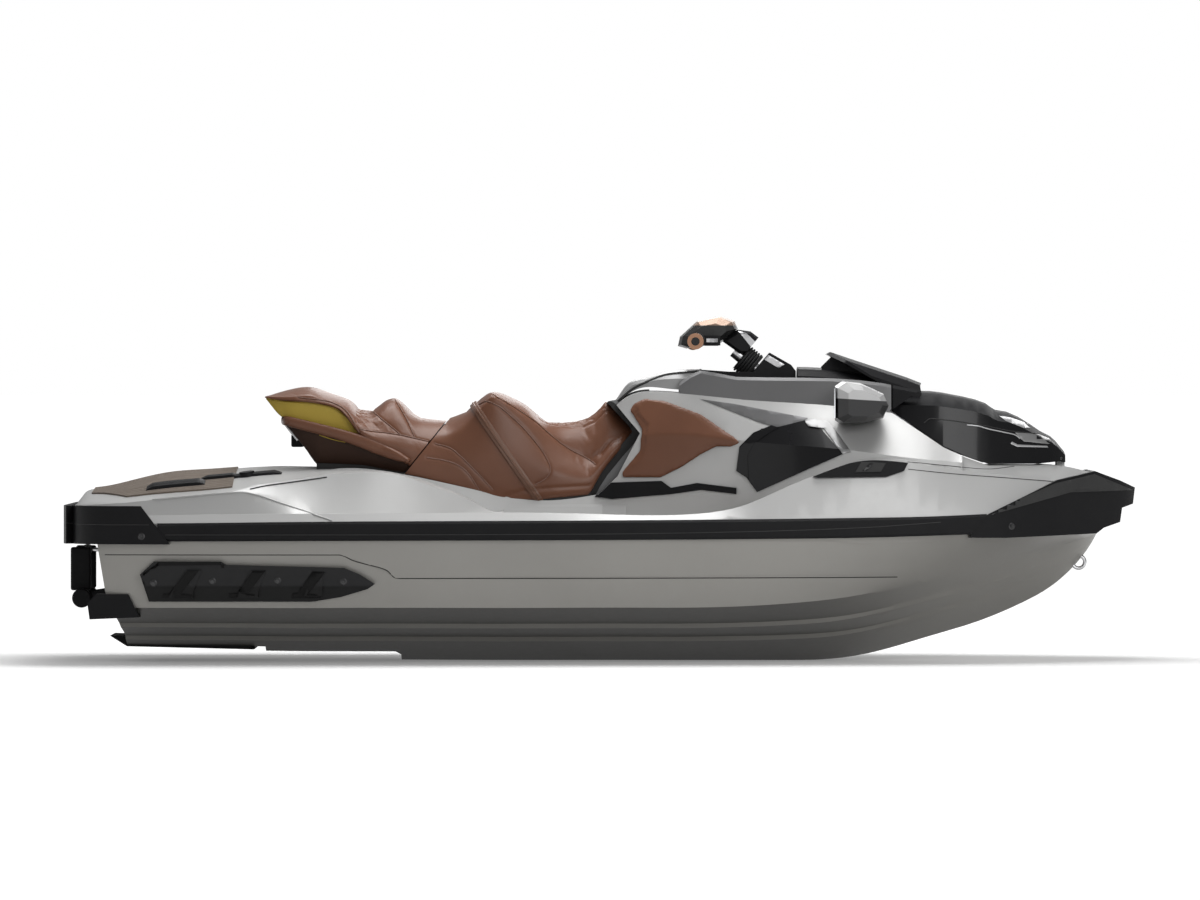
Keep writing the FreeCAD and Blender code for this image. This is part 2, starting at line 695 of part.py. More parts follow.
# Sponsons with three ribs, transom feet and the ride plate under the tunnel
sponson_shares = (
    (0.074, 0.259), (0.087, 0.297), (0.149, 0.297), (0.154, 0.288), (0.263, 0.279), (0.278, 0.259),
    (0.291, 0.233), (0.284, 0.218), (0.259, 0.195), (0.233, 0.182), (0.082, 0.182),
)
sponson_upper_shares = (
    (0.074, 0.259), (0.087, 0.297), (0.149, 0.297), (0.154, 0.288), (0.263, 0.279), (0.278, 0.259),
    (0.291, 0.233), (0.284, 0.227), (0.080, 0.227),
)
rib_shares = (
    ((0.117, 0.272), (0.131, 0.272), (0.123, 0.209), (0.123, 0.189), (0.100, 0.189), (0.103, 0.209)),
    ((0.176, 0.270), (0.190, 0.270), (0.183, 0.209), (0.183, 0.193), (0.164, 0.193), (0.166, 0.209)),
    ((0.233, 0.266), (0.244, 0.266), (0.242, 0.209), (0.242, 0.198), (0.226, 0.198), (0.227, 0.209)),
)
foot_shares = ((0.025, 0.177), (0.033, 0.203), (0.063, 0.203), (0.073, 0.137), (0.027, 0.131))
ride_shares = ((0.040, 0.075), (0.160, 0.062), (0.175, 0.035), (0.056, 0.044))
sponson_field_shares = ((0.05, 0.17), (0.05, 0.31), (0.31, 0.31), (0.31, 0.17))
sponson_inner = size("sponson_inner", 405)
sponson_low = size("sponson_low", 9)
sponson_high = size("sponson_high", 20)
rib_proud = size("rib_proud", 25)
ride_half = size("ride_half", 165)
side_local = hull.common(side_prism(outline(sponson_field_shares), float(sponson_inner - deck_lap), far))


def side_skin(shares, proud):
    """A slab on the side of the hull, standing proud of it by a given distance."""
    moved = side_local.translated(Vector(0, float(proud), 0))
    return moved.common(side_prism(outline(shares), float(sponson_inner), far))


sponson = side_skin(sponson_shares, sponson_low).fuse(
    [side_skin(sponson_upper_shares, sponson_high)] + [side_skin(rib, rib_proud) for rib in rib_shares]
)
sponson = port_piece(sponson.cut(hull))
pair("sponson", sponson)
foot_half = side_prism(outline(foot_shares), out(0.69), out(0.875)).cut(hull)
pair("transom_foot", port_piece(foot_half))
ride_plate = side_prism(outline(ride_shares), -float(ride_half), float(ride_half)).cut(hull)
moulding("ride_plate", largest(ride_plate))

# Skins that stand on the sides of the deck moulding
knee_shares = (
    (0.526, 0.727), (0.531, 0.747), (0.541, 0.762), (0.560, 0.756), (0.593, 0.718), (0.626, 0.648),
    (0.630, 0.634), (0.622, 0.622), (0.607, 0.619), (0.593, 0.596), (0.574, 0.558), (0.555, 0.529),
    (0.520, 0.529), (0.519, 0.544), (0.535, 0.610), (0.537, 0.672),
)
trim_shares = (
    (0.494, 0.477), (0.501, 0.517), (0.556, 0.523), (0.565, 0.503), (0.589, 0.517), (0.626, 0.503),
    (0.626, 0.485), (0.593, 0.497), (0.566, 0.485), (0.510, 0.470),
)
cowl_shares = (
    (0.636, 0.605), (0.649, 0.674), (0.666, 0.680), (0.689, 0.698), (0.702, 0.683), (0.724, 0.602),
    (0.692, 0.558), (0.645, 0.491), (0.636, 0.529),
)
vent_shares = (
    (0.690, 0.545), (0.7245, 0.598), (0.7845, 0.581), (0.780, 0.5545), (0.764, 0.538), (0.700, 0.5355),
)


skin_inner = size("skin_inner", 60)
knee_pad_proud = size("knee_pad_proud", 12)
trim_proud = size("trim_proud", 8)
cowl_proud = size("cowl_proud", 8)
vent_proud = size("vent_proud", 12)


def deck_skin(shares, proud):
    """A thin piece that lies on the side of the deck, inside a side-view outline."""
    piece = deck.common(side_prism(outline(shares), float(skin_inner), far))
    return port_piece(piece.translated(Vector(0, float(proud), 0)).cut(deck))


pair("knee_pad", deck_skin(knee_shares, knee_pad_proud))
pair("foot_trim", deck_skin(trim_shares, trim_proud))
cowl = deck_skin(cowl_shares, cowl_proud)
pair("side_cowl", cowl)
vent = deck_skin(vent_shares, vent_proud)
pair("vent", port_piece(vent.cut(cowl)))

# Side fairings along the dash
fairing_top_shares = (
    (0.573, 0.806), (0.583, 0.828), (0.593, 0.842), (0.626, 0.823), (0.715, 0.819), (0.762, 0.805),
    (0.797, 0.784),
)
fairing_foot_shares = (
    (0.573, 0.779), (0.630, 0.762), (0.720, 0.745), (0.770, 0.723), (0.797, 0.707),
)
fairing_top = fair(fairing_top_shares, up)
fairing_foot = fair(fairing_foot_shares, up)
fairing_inner_share = 0.205
fairing_rear_share = 0.279
fairing_crown = size("fairing_crown", 3)
fairing_shoulder = size("fairing_shoulder", 22)
fairing_lean = size("fairing_lean", 4)
fairing_bevel = size("fairing_bevel", 10)
fairing_drop = size("fairing_drop", 30)


def fairing_ring(x):
    side, top, foot = console_breadth(x), fairing_top(x), fairing_foot(x)
    inner = out(fairing_inner_share) + (side - out(fairing_rear_share)) * 0.9
    bevel = float(fairing_bevel)
    return [
        (inner, top - float(fairing_crown)), (side - float(fairing_shoulder), top),
        (side - float(fairing_lean), top - bevel), (side, foot - bevel), (inner, foot - float(fairing_drop)),
    ]


fairing_station_shares = (0.573, 0.584, 0.593, 0.610, 0.626, 0.650, 0.670, 0.692, 0.715, 0.740, 0.762, 0.797)
fairing_split_share = 0.7715
fairing_loft = loft([along(s) for s in fairing_station_shares], fairing_ring, True)
fairing_front = block(along(fairing_split_share), far, 0, far, 0, far)
fairing_tip = port_piece(fairing_loft.common(fairing_front).cut([deck, hood_zone]))
fairing = port_piece(fairing_loft.cut([deck, hood_bed, fairing_front.translated(Vector(-clear, 0, 0))]))
pair("side_fairing", fairing)

# Seats: a two-up rear cushion with a raised back and a long front saddle
seat_height_shares = (
    (0.181, 0.759), (0.185, 0.767), (0.206, 0.784), (0.216, 0.789), (0.228, 0.793), (0.245, 0.777),
    (0.263, 0.754), (0.273, 0.742), (0.278, 0.725), (0.287, 0.724), (0.294, 0.732), (0.301, 0.758),
    (0.308, 0.762), (0.325, 0.722), (0.339, 0.701), (0.353, 0.697), (0.367, 0.715), (0.381, 0.750),
    (0.393, 0.776), (0.398, 0.781), (0.405, 0.777), (0.423, 0.750), (0.437, 0.722), (0.447, 0.698),
    (0.461, 0.694), (0.475, 0.697), (0.489, 0.715), (0.501, 0.741), (0.507, 0.748), (0.519, 0.704),
    (0.532, 0.661),
)
seat_floor_shares = (
    (0.181, 0.754), (0.186, 0.750), (0.201, 0.709), (0.209, 0.683), (0.237, 0.562), (0.254, 0.501),
    (0.310, 0.440), (0.461, 0.440), (0.491, 0.466), (0.499, 0.498), (0.511, 0.537), (0.532, 0.648),
)
seat_breadth_shares = (
    (0.181, 0.239), (0.216, 0.281), (0.263, 0.287), (0.292, 0.284), (0.339, 0.274), (0.398, 0.287),
    (0.452, 0.223), (0.489, 0.179), (0.519, 0.144), (0.532, 0.112),
)
seat_hip_shares = (
    (0.181, 0.263), (0.216, 0.316), (0.263, 0.327), (0.292, 0.327), (0.339, 0.319), (0.398, 0.313),
    (0.452, 0.300), (0.489, 0.239), (0.519, 0.191), (0.532, 0.144),
)
seat_split_outline_shares = (
    (0.122, 1.046), (0.356, 1.046), (0.356, 0.700), (0.314, 0.538), (0.314, 0.291), (0.122, 0.291),
)
seat_height = fair(seat_height_shares, up)
seat_floor = fair(seat_floor_shares, up)
seat_breadth = fair(seat_breadth_shares, out)
seat_hip = fair(seat_hip_shares, out)
seat_crown = size("seat_crown", 8)
seat_edge = size("seat_edge", 34)
seat_hip_drop = size("seat_hip_drop", 70)
seat_tuck = size("seat_tuck", 12)
seat_hip_share = 0.60
seat_station_shares = (
    0.181, 0.186, 0.194, 0.2013, 0.2088, 0.218, 0.228, 0.2371, 0.250, 0.263, 0.273, 0.280, 0.287, 0.294,
    0.301, 0.308, 0.316, 0.325, 0.332, 0.341, 0.352, 0.362, 0.374, 0.385, 0.393, 0.398, 0.405, 0.414,
    0.425, 0.436, 0.447, 0.461, 0.475, 0.489, 0.500, 0.507, 0.513, 0.522, 0.532,
)


def seat_ring(x):
    top, floor, side, hip = seat_height(x), seat_floor(x), seat_breadth(x), seat_hip(x)
    deep = top - floor
    low = max(min(top - float(seat_hip_drop), up(seat_hip_share)), floor + deep * 0.4)
    crown, edge = top - min(float(seat_crown), deep * 0.1), top - min(float(seat_edge), deep * 0.3)
    tuck = hip - float(seat_tuck)
    return mirrored([(0, top), (side * 0.72, crown), (side, edge), (hip, low), (tuck, floor), (0, floor)])


seat_stations = [along(s) for s in seat_station_shares]
seats = loft(seat_stations, seat_ring, True)
seat_split = side_prism(outline(seat_split_outline_shares), -far, far)
rear_seat = largest(seats.common(seat_split).cut(deck))
front_seat = largest(seats.cut(seat_split).cut(deck))
moulding("rear_seat", rear_seat)
moulding("front_seat", front_seat)

# Hood: a thin lid over the storage bin, with the dash and the wind deflector on it
hood_height_shares = (
    (0.767, 0.779), (0.781, 0.783), (0.809, 0.782), (0.828, 0.773), (0.851, 0.758), (0.861, 0.747),
    (0.870, 0.728), (0.881, 0.722), (0.903, 0.686), (0.913, 0.665), (0.922, 0.651), (0.927, 0.637),
    (0.935, 0.607),
)
hood_breadth_shares = (
    (0.767, 0.427), (0.786, 0.455), (0.818, 0.463), (0.837, 0.443), (0.861, 0.407), (0.889, 0.343),
    (0.922, 0.239), (0.935, 0.179),
)
lid_height_shares = (
    (0.508, 0.741), (0.513, 0.756), (0.527, 0.808), (0.536, 0.816), (0.546, 0.825), (0.564, 0.840),
    (0.583, 0.845), (0.593, 0.845), (0.626, 0.837),
)
hood_height = fair(hood_height_shares, up)
hood_breadth = fair(hood_breadth_shares, out)
lid_height = fair(lid_height_shares, up)
hood_wall = size("hood_wall", 12)
hood_crown = size("hood_crown", 7)
slot_margin = size("slot_margin", 6)
slot_swing = size("slot_swing", 11)
slot_head = size("slot_head", 20)
hinge_bore_half = size("hinge_bore_half", 120)
hood_foot_share = 0.55


def hood_ring(inset):
    def ring(x):
        top, side = hood_height(x) - inset, hood_breadth(x) - inset
        low = up(hood_foot_share)
        shoulder = top - (top - low) * 0.18
        crown = top - float(hood_crown)
        return mirrored([(0, top), (side * 0.55, crown), (side * 0.90, shoulder), (side, low), (0, low)])

    return ring


hood_station_shares = (
    0.767, 0.781, 0.795, 0.809, 0.819, 0.828, 0.840, 0.851, 0.861, 0.866, 0.870, 0.876, 0.881, 0.892, 0.903,
    0.908, 0.913, 0.922, 0.927, 0.935,
)
inner_station_shares = (0.789, 0.800, 0.820, 0.840, 0.858, 0.872, 0.890, 0.905, 0.920)
hood_stations = [along(s) for s in hood_station_shares]
inner_stations = [along(s) for s in inner_station_shares]
hood = loft(hood_stations, hood_ring(0), True).common(hood_zone)
hood_hollow = loft(inner_stations, hood_ring(float(hood_wall)), True)
slot_rear = hinge_x - float(lug_half + slot_swing)
slot_sides = (float(lug_inner - slot_margin), float(lug_outer + slot_margin))
slots = both_sides(block(slot_rear, far, *slot_sides, 0, hinge_z + float(slot_head)))
bore_start = Vector(hinge_x, -float(hinge_bore_half), hinge_z)
bore_length = float(hinge_bore_half * 2)
hinge_bore = Part.makeCylinder(float(hinge_pin + running_gap), bore_length, bore_start, Vector(0, 1, 0))
hood = largest(hood.cut([hood_hollow, slots, hinge_bore]))
hood = largest(hood.fuse([fairing_tip, other_side(fairing_tip)]))
dash_half_share = 0.300
dash_rear_share, dash_length_share = 0.684, 0.116
dash_height_share, dash_fall_share = 0.852, 0.070
dash_crown = size("dash_crown", 8)
dash_edge = size("dash_edge", 30)
dash_lift = size("dash_lift", 8)


def dash_ring(x):
    t = (x - along(dash_rear_share)) / along(dash_length_share)
    side = out(dash_half_share) * (0.62 + 0.33 * min(t * 2, 1))
    top, low = up(dash_height_share) - up(dash_fall_share) * t * t, console_height(x) + float(dash_lift)
    return mirrored(
        [(0, top), (side * 0.7, top - float(dash_crown)), (side, top - float(dash_edge)), (side, low), (0, low)]
    )


dash = loft([along(s) for s in (0.684, 0.700, 0.720, 0.745, 0.770, 0.792)], dash_ring)
dash = largest(dash.cut([hood_zone, fairing, other_side(fairing)]))
moulding("hood", hood)
moulding("dash", dash)
deflector_shares = (
    (0.711, 0.888), (0.715, 0.895), (0.732, 0.877), (0.786, 0.822), (0.800, 0.805), (0.798, 0.775),
    (0.786, 0.785), (0.772, 0.790), (0.734, 0.849),
)


deflector_section_shares = (
    (-0.303, 0.55, 0.0174, -0.0403), (-0.239, 0.80, 0.0064, -0.0125), (-0.128, 1, 0, 0), (0.128, 1, 0, 0),
    (0.239, 0.80, 0.0064, -0.0125), (0.303, 0.55, 0.0174, -0.0403),
)


def across_loft(points, section_shares):
    """A solid through one side-view outline, scaled about its centre and moved at each place across."""
    cx = sum(p[0] for p in points) / len(points)
    cz = sum(p[1] for p in points) / len(points)
    wires = []
    for across, scale, forward, raised in section_shares:
        mx, mz = cx + along(forward), cz + up(raised)
        ring = [Vector(mx + (x - cx) * scale, out(across), mz + (z - cz) * scale) for x, z in points]
        wires.append(Part.makePolygon(ring + ring[:1]))
    return Part.makeLoft(wires, True, True)


shield = across_loft(outline(deflector_shares), deflector_section_shares)
shield = largest(shield.cut([hood, dash]))
moulding("deflector", shield)

# Glove box lid in front of the saddle
lid_half_share = 0.185
lid_tip_share, lid_taper_share = 0.511, 0.04
lid_lift = size("lid_lift", 5)
lid_edge = size("lid_edge", 6)
lid_pin = size("lid_pin", 5)
lid_pin_half = size("lid_pin_half", 50)
lid_web = size("lid_web", 3)
lid_hinge_share, lid_hinge_height_share = 0.5930, 0.8416


def lid_ring(x):
    top, low = lid_height(x), console_height(x) + float(lid_lift)
    side = out(lid_half_share) * (0.78 + 0.22 * min((x - along(lid_tip_share)) / along(lid_taper_share), 1))
    low = min(low, top - float(lid_edge))
    deep = top - low
    crown, edge = top - deep * 0.12, low + deep * 0.55
    return mirrored([(0, top), (side * 0.7, crown), (side, edge), (side, low), (0, low)])


lid_station_shares = (0.512, 0.518, 0.527, 0.540, 0.560, 0.580, 0.5915)
lid_hinge = Vector(along(lid_hinge_share), 0, up(lid_hinge_height_share))


def lid_hinge_rod(radius, half):
    start = lid_hinge - Vector(0, float(half), 0)
    return Part.makeCylinder(float(radius), float(half * 2), start, Vector(0, 1, 0))


lid_web_plate = block(
    along(lid_station_shares[-2]), lid_hinge.x, -float(lid_pin_half), float(lid_pin_half),
    lid_hinge.z - float(lid_web), lid_hinge.z,
)
glove_lid = loft([along(s) for s in lid_station_shares], lid_ring)
glove_lid = largest(glove_lid.cut([deck, fairing, other_side(fairing)]))
glove_lid = glove_lid.fuse([lid_web_plate, lid_hinge_rod(lid_pin, lid_pin_half)])
moulding("glove_lid", glove_lid)
base_half = size("base_half", 70)
stem_radius = size("stem_radius", 20)
pin_gap = size("pin_gap", 0.08)
stem_foot = size("stem_foot", 50)
stem_length = size("stem_length", 130)
stem_bore_foot = size("stem_bore_foot", 60)
steering_base_shares = (
    (0.5930, 0.750), (0.5930, 0.8440), (0.620, 0.838), (0.6425, 0.8375), (0.658, 0.893), (0.678, 0.858),
    (0.6825, 0.840), (0.6825, 0.750),
)
base = side_prism(outline(steering_base_shares), -float(base_half), float(base_half))
base = base.cut([deck, fairing, other_side(fairing), lid_hinge_rod(lid_pin + pin_gap, lid_pin_half + seam_gap)])
stem = Vector(-0.7690, 0, 0.6392)
stem_pivot_share, stem_pivot_height_share = 0.6425, 0.852
pivot = Vector(along(stem_pivot_share), 0, up(stem_pivot_height_share))
stem_bore = Part.makeCylinder(float(stem_radius + pin_gap), far, pivot - stem * float(stem_bore_foot), stem)
moulding("steering_base", largest(base.cut(stem_bore)))

# Handlebar: stem, covered neck, padded centre, swept bar, two grips and two levers
neck_shares = (
    (0.629, 0.893), (0.650, 0.893), (0.667, 0.875), (0.6635, 0.900), (0.640, 0.955), (0.628, 0.960),
    (0.612, 0.930),
)
neck_section_shares = ((-0.067, 0.8, 0, 0), (-0.048, 1, 0, 0), (0.048, 1, 0, 0), (0.067, 0.8, 0, 0))
neck_clear = size("neck_clear", 47)
neck = across_loft(outline(neck_shares), neck_section_shares)
slab = Part.makeBox(far, far, far, Vector(-far / 2, -far / 2, 0))
turn = FreeCAD.Rotation(Vector(0, 0, 1), stem)
slab.Placement = FreeCAD.Placement(pivot + stem * float(neck_clear), turn)
neck = neck.common(slab)
stem_rod = Part.makeCylinder(float(stem_radius), float(stem_length), pivot - stem * float(stem_foot), stem)
bar_points = ((0.6075, 0.16, 0.931), (0.598, 0.34, 0.930), (0.5905, 0.388, 0.928), (0.5875, 0.64, 0.925))
bar_radius = size("bar_radius", 11)
grip_radius = size("grip_radius", 17)
grip_length = size("grip_length", 125)
grip_proud = size("grip_proud", 7)
ring_radius = size("ring_radius", 26)
ring_width = size("ring_width", 9)
flange_grip_radius = size("flange_grip_radius", 24)
flange_grip_width = size("flange_grip_width", 6)


def rod(points, radius):
    """A round bar along a run of straight lengths."""
    start = points[1] - points[0]
    profile = Part.Wire([Part.makeCircle(radius, points[0], start)])
    return Part.makePolygon(points).makePipeShell([profile], True, True, 1)


bar_line = [Vector(along(a), out(b), up(c)) for a, b, c in bar_points]
bar = rod([Vector(p.x, -p.y, p.z) for p in reversed(bar_line)] + bar_line, float(bar_radius))
pad_shares = (
    (0.572, 0.912), (0.580, 0.905), (0.612, 0.921), (0.628, 0.962), (0.625, 0.985), (0.612, 1.000),
    (0.590, 0.985), (0.574, 0.940),
)
pad_section_shares = (
    (-0.156, 0.62, 0, -0.0036), (-0.131, 0.90, 0, 0), (-0.080, 1, 0, 0), (0.080, 1, 0, 0), (0.131, 0.90, 0, 0),
    (0.156, 0.62, 0, -0.0036),
)
pad_piece = across_loft(outline(pad_shares), pad_section_shares)
grip_line = (bar_line[3] - bar_line[2]).normalize()
grip_tip = bar_line[3] + grip_line * float(grip_proud)
grip_root = grip_tip - grip_line * float(grip_length)
grip = Part.makeCylinder(float(grip_radius), float(grip_length), grip_root, grip_line)
grip_end = Part.makeCylinder(float(ring_radius), float(ring_width), grip_tip, grip_line)
flange_root = grip_root - grip_line * float(flange_grip_width)
flange = Part.makeCylinder(float(flange_grip_radius), float(flange_grip_width), flange_root, grip_line)
grip = grip.fuse([flange]).cut(bar)
moulding("handlebar_stem", stem_rod)
moulding("handlebar_neck", largest(neck.cut([stem_rod, bar])))
moulding("handlebar_pad", largest(pad_piece.cut([neck, stem_rod, bar])))
pair("grip", largest(grip))
pair("grip_ring", grip_end)
lever_shares = (
    (0.6005, 0.395), (0.6085, 0.395), (0.6085, 0.430), (0.6035, 0.560), (0.6005, 0.640), (0.5975, 0.640),
    (0.6005, 0.560), (0.6025, 0.450), (0.6005, 0.440),
)
perch_shares = (
    (0.5905, 0.372), (0.6110, 0.372), (0.6110, 0.394), (0.6090, 0.405), (0.5985, 0.405), (0.5890, 0.402),
)
lever_height_shares, perch_height_shares = (0.9225, 0.9330), (0.9135, 0.9420)
lever = plan_prism(plan(lever_shares), *(up(s) for s in lever_height_shares))
perch = plan_prism(plan(perch_shares), *(up(s) for s in perch_height_shares)).cut([grip, lever])
moulding("handlebar_tube", largest(bar.fuse(both_sides(largest(perch))).cut(stem_rod)))
pair("lever", lever)

# Mirrors
mirror_shares = (
    (0.716, 0.700), (0.716, 0.795), (0.724, 0.812), (0.740, 0.806), (0.762, 0.775), (0.767, 0.740),
    (0.762, 0.705), (0.745, 0.690), (0.722, 0.688),
)
mirror_section_shares = (
    (0.44, 0.45, 0.0029, -0.0072), (0.50, 0.85, 0.0006, 0), (0.58, 1, 0, 0), (0.68, 0.92, 0.0012, 0),
    (0.73, 0.62, 0.0041, 0),
)
mirror_face_share = 0.717
glass_side_shares, glass_height_shares = (0.52, 0.685), (0.705, 0.790)
glass_thickness = size("glass_thickness", 4)
mirror = across_loft(outline(mirror_shares), mirror_section_shares)
mirror = mirror.cut(block(0, along(mirror_face_share), 0, far, 0, up(1)))
mirror = largest(mirror.cut([deck, hood_bed, fairing]))
pair("mirror_housing", mirror)
glass = block(
    along(mirror_face_share) - float(glass_thickness), along(mirror_face_share),
    *(out(s) for s in glass_side_shares), *(up(s) for s in glass_height_shares),
)
pair("mirror_glass", glass.cut([deck, mirror]))

# Mats
mat_thickness = size("mat_thickness", 5)
mat_margin = size("mat_margin", 14)
rear_mat_shares = (
    (0.024, 0.350), (0.024, -0.350), (0.060, -0.700), (0.158, -0.740), (0.158, 0.740), (0.060, 0.700),
)
mat_height_shares = (0.4, 0.7)
mat_column = plan_prism(plan(rear_mat_shares), *(up(s) for s in mat_height_shares))
mat = deck.common(mat_column).translated(Vector(0, 0, float(mat_thickness))).common(mat_column).cut(deck)
moulding("rear_mat", largest(mat))
well_mat = plan_prism(grown(well_plan, -float(mat_margin)), float(well_floor), float(well_floor + mat_thickness))
pair("footwell_mat", port_piece(well_mat.cut(deck)))

# Tow eyes and cleats
eye_wire = size("eye_wire", 6)
bow_eye_radius = size("bow_eye_radius", 20)
stern_eye_radius = size("stern_eye_radius", 18)
bow_eye_share, bow_eye_height_share = 0.949, 0.285
stern_eye_share, stern_eye_side_share, stern_eye_height_share = 0.0316, 0.3589, 0.325
bow_eye_place = Vector(along(bow_eye_share), 0, up(bow_eye_height_share))
bow_eye = Part.makeTorus(float(bow_eye_radius), float(eye_wire), bow_eye_place, Vector(0, 1, 0))
moulding("bow_eye", largest(bow_eye.cut([hull, bow_bumper])))
stern_eye_place = Vector(along(stern_eye_share), out(stern_eye_side_share), up(stern_eye_height_share))
stern_eye = Part.makeTorus(float(stern_eye_radius), float(eye_wire), stern_eye_place, Vector(0, 0, 1))
pair("stern_eye", largest(stern_eye.cut([hull, deck])))

# Jet pump: housing with ears, shaft and impeller, steerable nozzle and reverse gate
pump_mouth = tunnel_length
pump_barrel = size("pump_barrel", 86)
pump_bore = size("pump_bore", 76)
barrel_length = size("barrel_length", 190)
nozzle_pivot = size("nozzle_pivot", 290)
venturi_radius = size("venturi_radius", 54)
venturi_wall = size("venturi_wall", 6)
venturi_start = size("venturi_start", 60)
venturi_reach = size("venturi_reach", 12)
venturi_flare = size("venturi_flare", 2)
nozzle_outer = size("nozzle_outer", 80)
nozzle_wall = size("nozzle_wall", 6)
nozzle_rim = size("nozzle_rim", 24)
nozzle_shoulder = size("nozzle_shoulder", 20)
nozzle_reach = size("nozzle_reach", 92)
ear_reach = size("ear_reach", 117)
ear_gap = size("ear_gap", 5)
ear_tail = size("ear_tail", 16)
ear_margin = size("ear_margin", 8)
pin_radius = size("pin_radius", 7)
flange_radius = size("flange_radius", 130)
flange_width = size("flange_width", 24)
web_start = size("web_start", 140)
web_sink = size("web_sink", 2)
zero = Size(0.0, "0")
plate = size("plate", 8)
gate_radius = size("gate_radius", 122)


def feature_cut(label, base, tools):
    """Cuts several bound tools from a bound piece."""
    return keep(cut(label, base, fuse(label + "_tools", tools) if len(tools) > 1 else tools[0]), label)


barrel = new_body("pump_barrel", (zero, zero, shaft_height))
barrel_foot = pump_mouth - barrel_length
turned(
    barrel, "XZ_Plane",
    [
        (pump_mouth, pump_bore), (pump_mouth, flange_radius), (pump_mouth - flange_width, flange_radius),
        (pump_mouth - flange_width, pump_barrel), (barrel_foot, pump_barrel),
        (nozzle_pivot + venturi_start, venturi_radius + venturi_flare),
        (nozzle_pivot - venturi_reach, venturi_radius),
        (nozzle_pivot - venturi_reach, venturi_radius - venturi_wall),
        (nozzle_pivot + venturi_start, venturi_radius + venturi_flare - venturi_wall), (barrel_foot, pump_bore),
    ],
)
ear_length = pump_mouth - nozzle_pivot - ear_margin
ear_start = nozzle_pivot - ear_tail
side_ear_in = ear_reach - plate
ear_height = nozzle_outer + ear_gap
web_x = nozzle_pivot + web_start
web_length = pump_mouth - nozzle_pivot - barrel_length
web_root = pump_bore + web_sink
web_depth = ear_height + plate - web_root
side_web_depth = ear_reach - web_root
pump_solids = [
    barrel,
    box("ear_top", ear_length, plate * 4, plate, (ear_start, plate * -2, shaft_height + ear_height)),
    box("ear_foot", ear_length, plate * 4, plate, (ear_start, plate * -2, shaft_height - ear_height - plate)),
    box("ear_left", ear_length, plate, plate * 4, (ear_start, side_ear_in, shaft_height - plate * 2)),
    box("ear_right", ear_length, plate, plate * 4, (ear_start, -ear_reach, shaft_height - plate * 2)),
    box("web_top", web_length, plate * 2, web_depth, (web_x, -plate, shaft_height + web_root)),
    box("web_foot", web_length, plate * 2, web_depth, (web_x, -plate, shaft_height - web_root - web_depth)),
    box("web_left", web_length, side_web_depth, plate * 2, (web_x, web_root, shaft_height - plate)),
    box("web_right", web_length, side_web_depth, plate * 2, (web_x, -ear_reach, shaft_height - plate)),
]
steer_hole = cylinder(
    "steer_hole", pin_radius + pin_gap, ear_reach * 2, (nozzle_pivot, zero, shaft_height - ear_reach)
)
gate_hole = cylinder(
    "gate_hole", pin_radius + pin_gap, ear_reach * 2, (nozzle_pivot, -ear_reach, shaft_height), along_y
)
feature_cut("pump_housing", fuse("pump_solids", pump_solids), [steer_hole, gate_hole])

nozzle_body = new_body("nozzle_shell", (zero, zero, shaft_height))
nozzle_inner = nozzle_outer - nozzle_wall
turned(
    nozzle_body, "XZ_Plane",
    [
        (nozzle_pivot + nozzle_rim, nozzle_inner), (nozzle_pivot + nozzle_rim, nozzle_outer),
        (nozzle_pivot - nozzle_shoulder, nozzle_outer), (nozzle_pivot - nozzle_reach, venturi_radius),
        (nozzle_pivot - nozzle_reach, venturi_radius - venturi_wall),
        (nozzle_pivot - nozzle_shoulder, nozzle_inner),
    ],
)
nozzle_pin_half = ear_height + plate
nozzle_pin_foot = (nozzle_pivot, zero, shaft_height - nozzle_pin_half)
nozzle_pins = cut(
    "nozzle_pins",
    cylinder("nozzle_pin", pin_radius, nozzle_pin_half * 2, nozzle_pin_foot),
    cylinder(
        "nozzle_pin_bore", nozzle_outer - nozzle_wall / 2, ear_reach,
        (nozzle_pivot - ear_reach / 2, zero, shaft_height), along_x,
    ),
)
keep(fuse("nozzle", [nozzle_body, nozzle_pins]), "nozzle")

gate_width = size("gate_width", 206)
gate_body = new_body("gate_bucket", (nozzle_pivot, zero, shaft_height))
gate_arc_angles = (0.52, 0.32, 0.11, -0.11, -0.36, -0.64)
outer_arc = [(gate_radius * math.sin(a), gate_radius * math.cos(a)) for a in gate_arc_angles]
inner_radius = gate_radius - plate
inner_arc = [(inner_radius * math.sin(a), inner_radius * math.cos(a)) for a in reversed(gate_arc_angles)]
pad(gate_body, "XZ_Plane", outer_arc + inner_arc, gate_width)
arm_y = gate_width / 2 - plate
gate_arm = new_body("gate_arm_left", (nozzle_pivot, arm_y + plate / 2, shaft_height))
arm_points = [
    (plate * -2, plate * -2), (plate * 2, plate * -2), (plate * 4, gate_radius * 0.5),
    (gate_radius * 0.47, gate_radius * 0.83), (gate_radius * -0.58, gate_radius * 0.77),
    (plate * -4, gate_radius * 0.5),
]
pad(gate_arm, "XZ_Plane", arm_points, plate)
gate_arm_right = new_body("gate_arm_right", (nozzle_pivot, -arm_y - plate / 2, shaft_height))
pad(gate_arm_right, "XZ_Plane", arm_points, plate)
gate_pins = [
    cylinder("gate_pin_left", pin_radius, plate * 3, (nozzle_pivot, arm_y, shaft_height), along_y),
    cylinder("gate_pin_right", pin_radius, plate * 3, (nozzle_pivot, -arm_y - plate * 3, shaft_height), along_y),
]
keep(fuse("reverse_gate", [gate_body, gate_arm, gate_arm_right] + gate_pins), "reverse_gate")

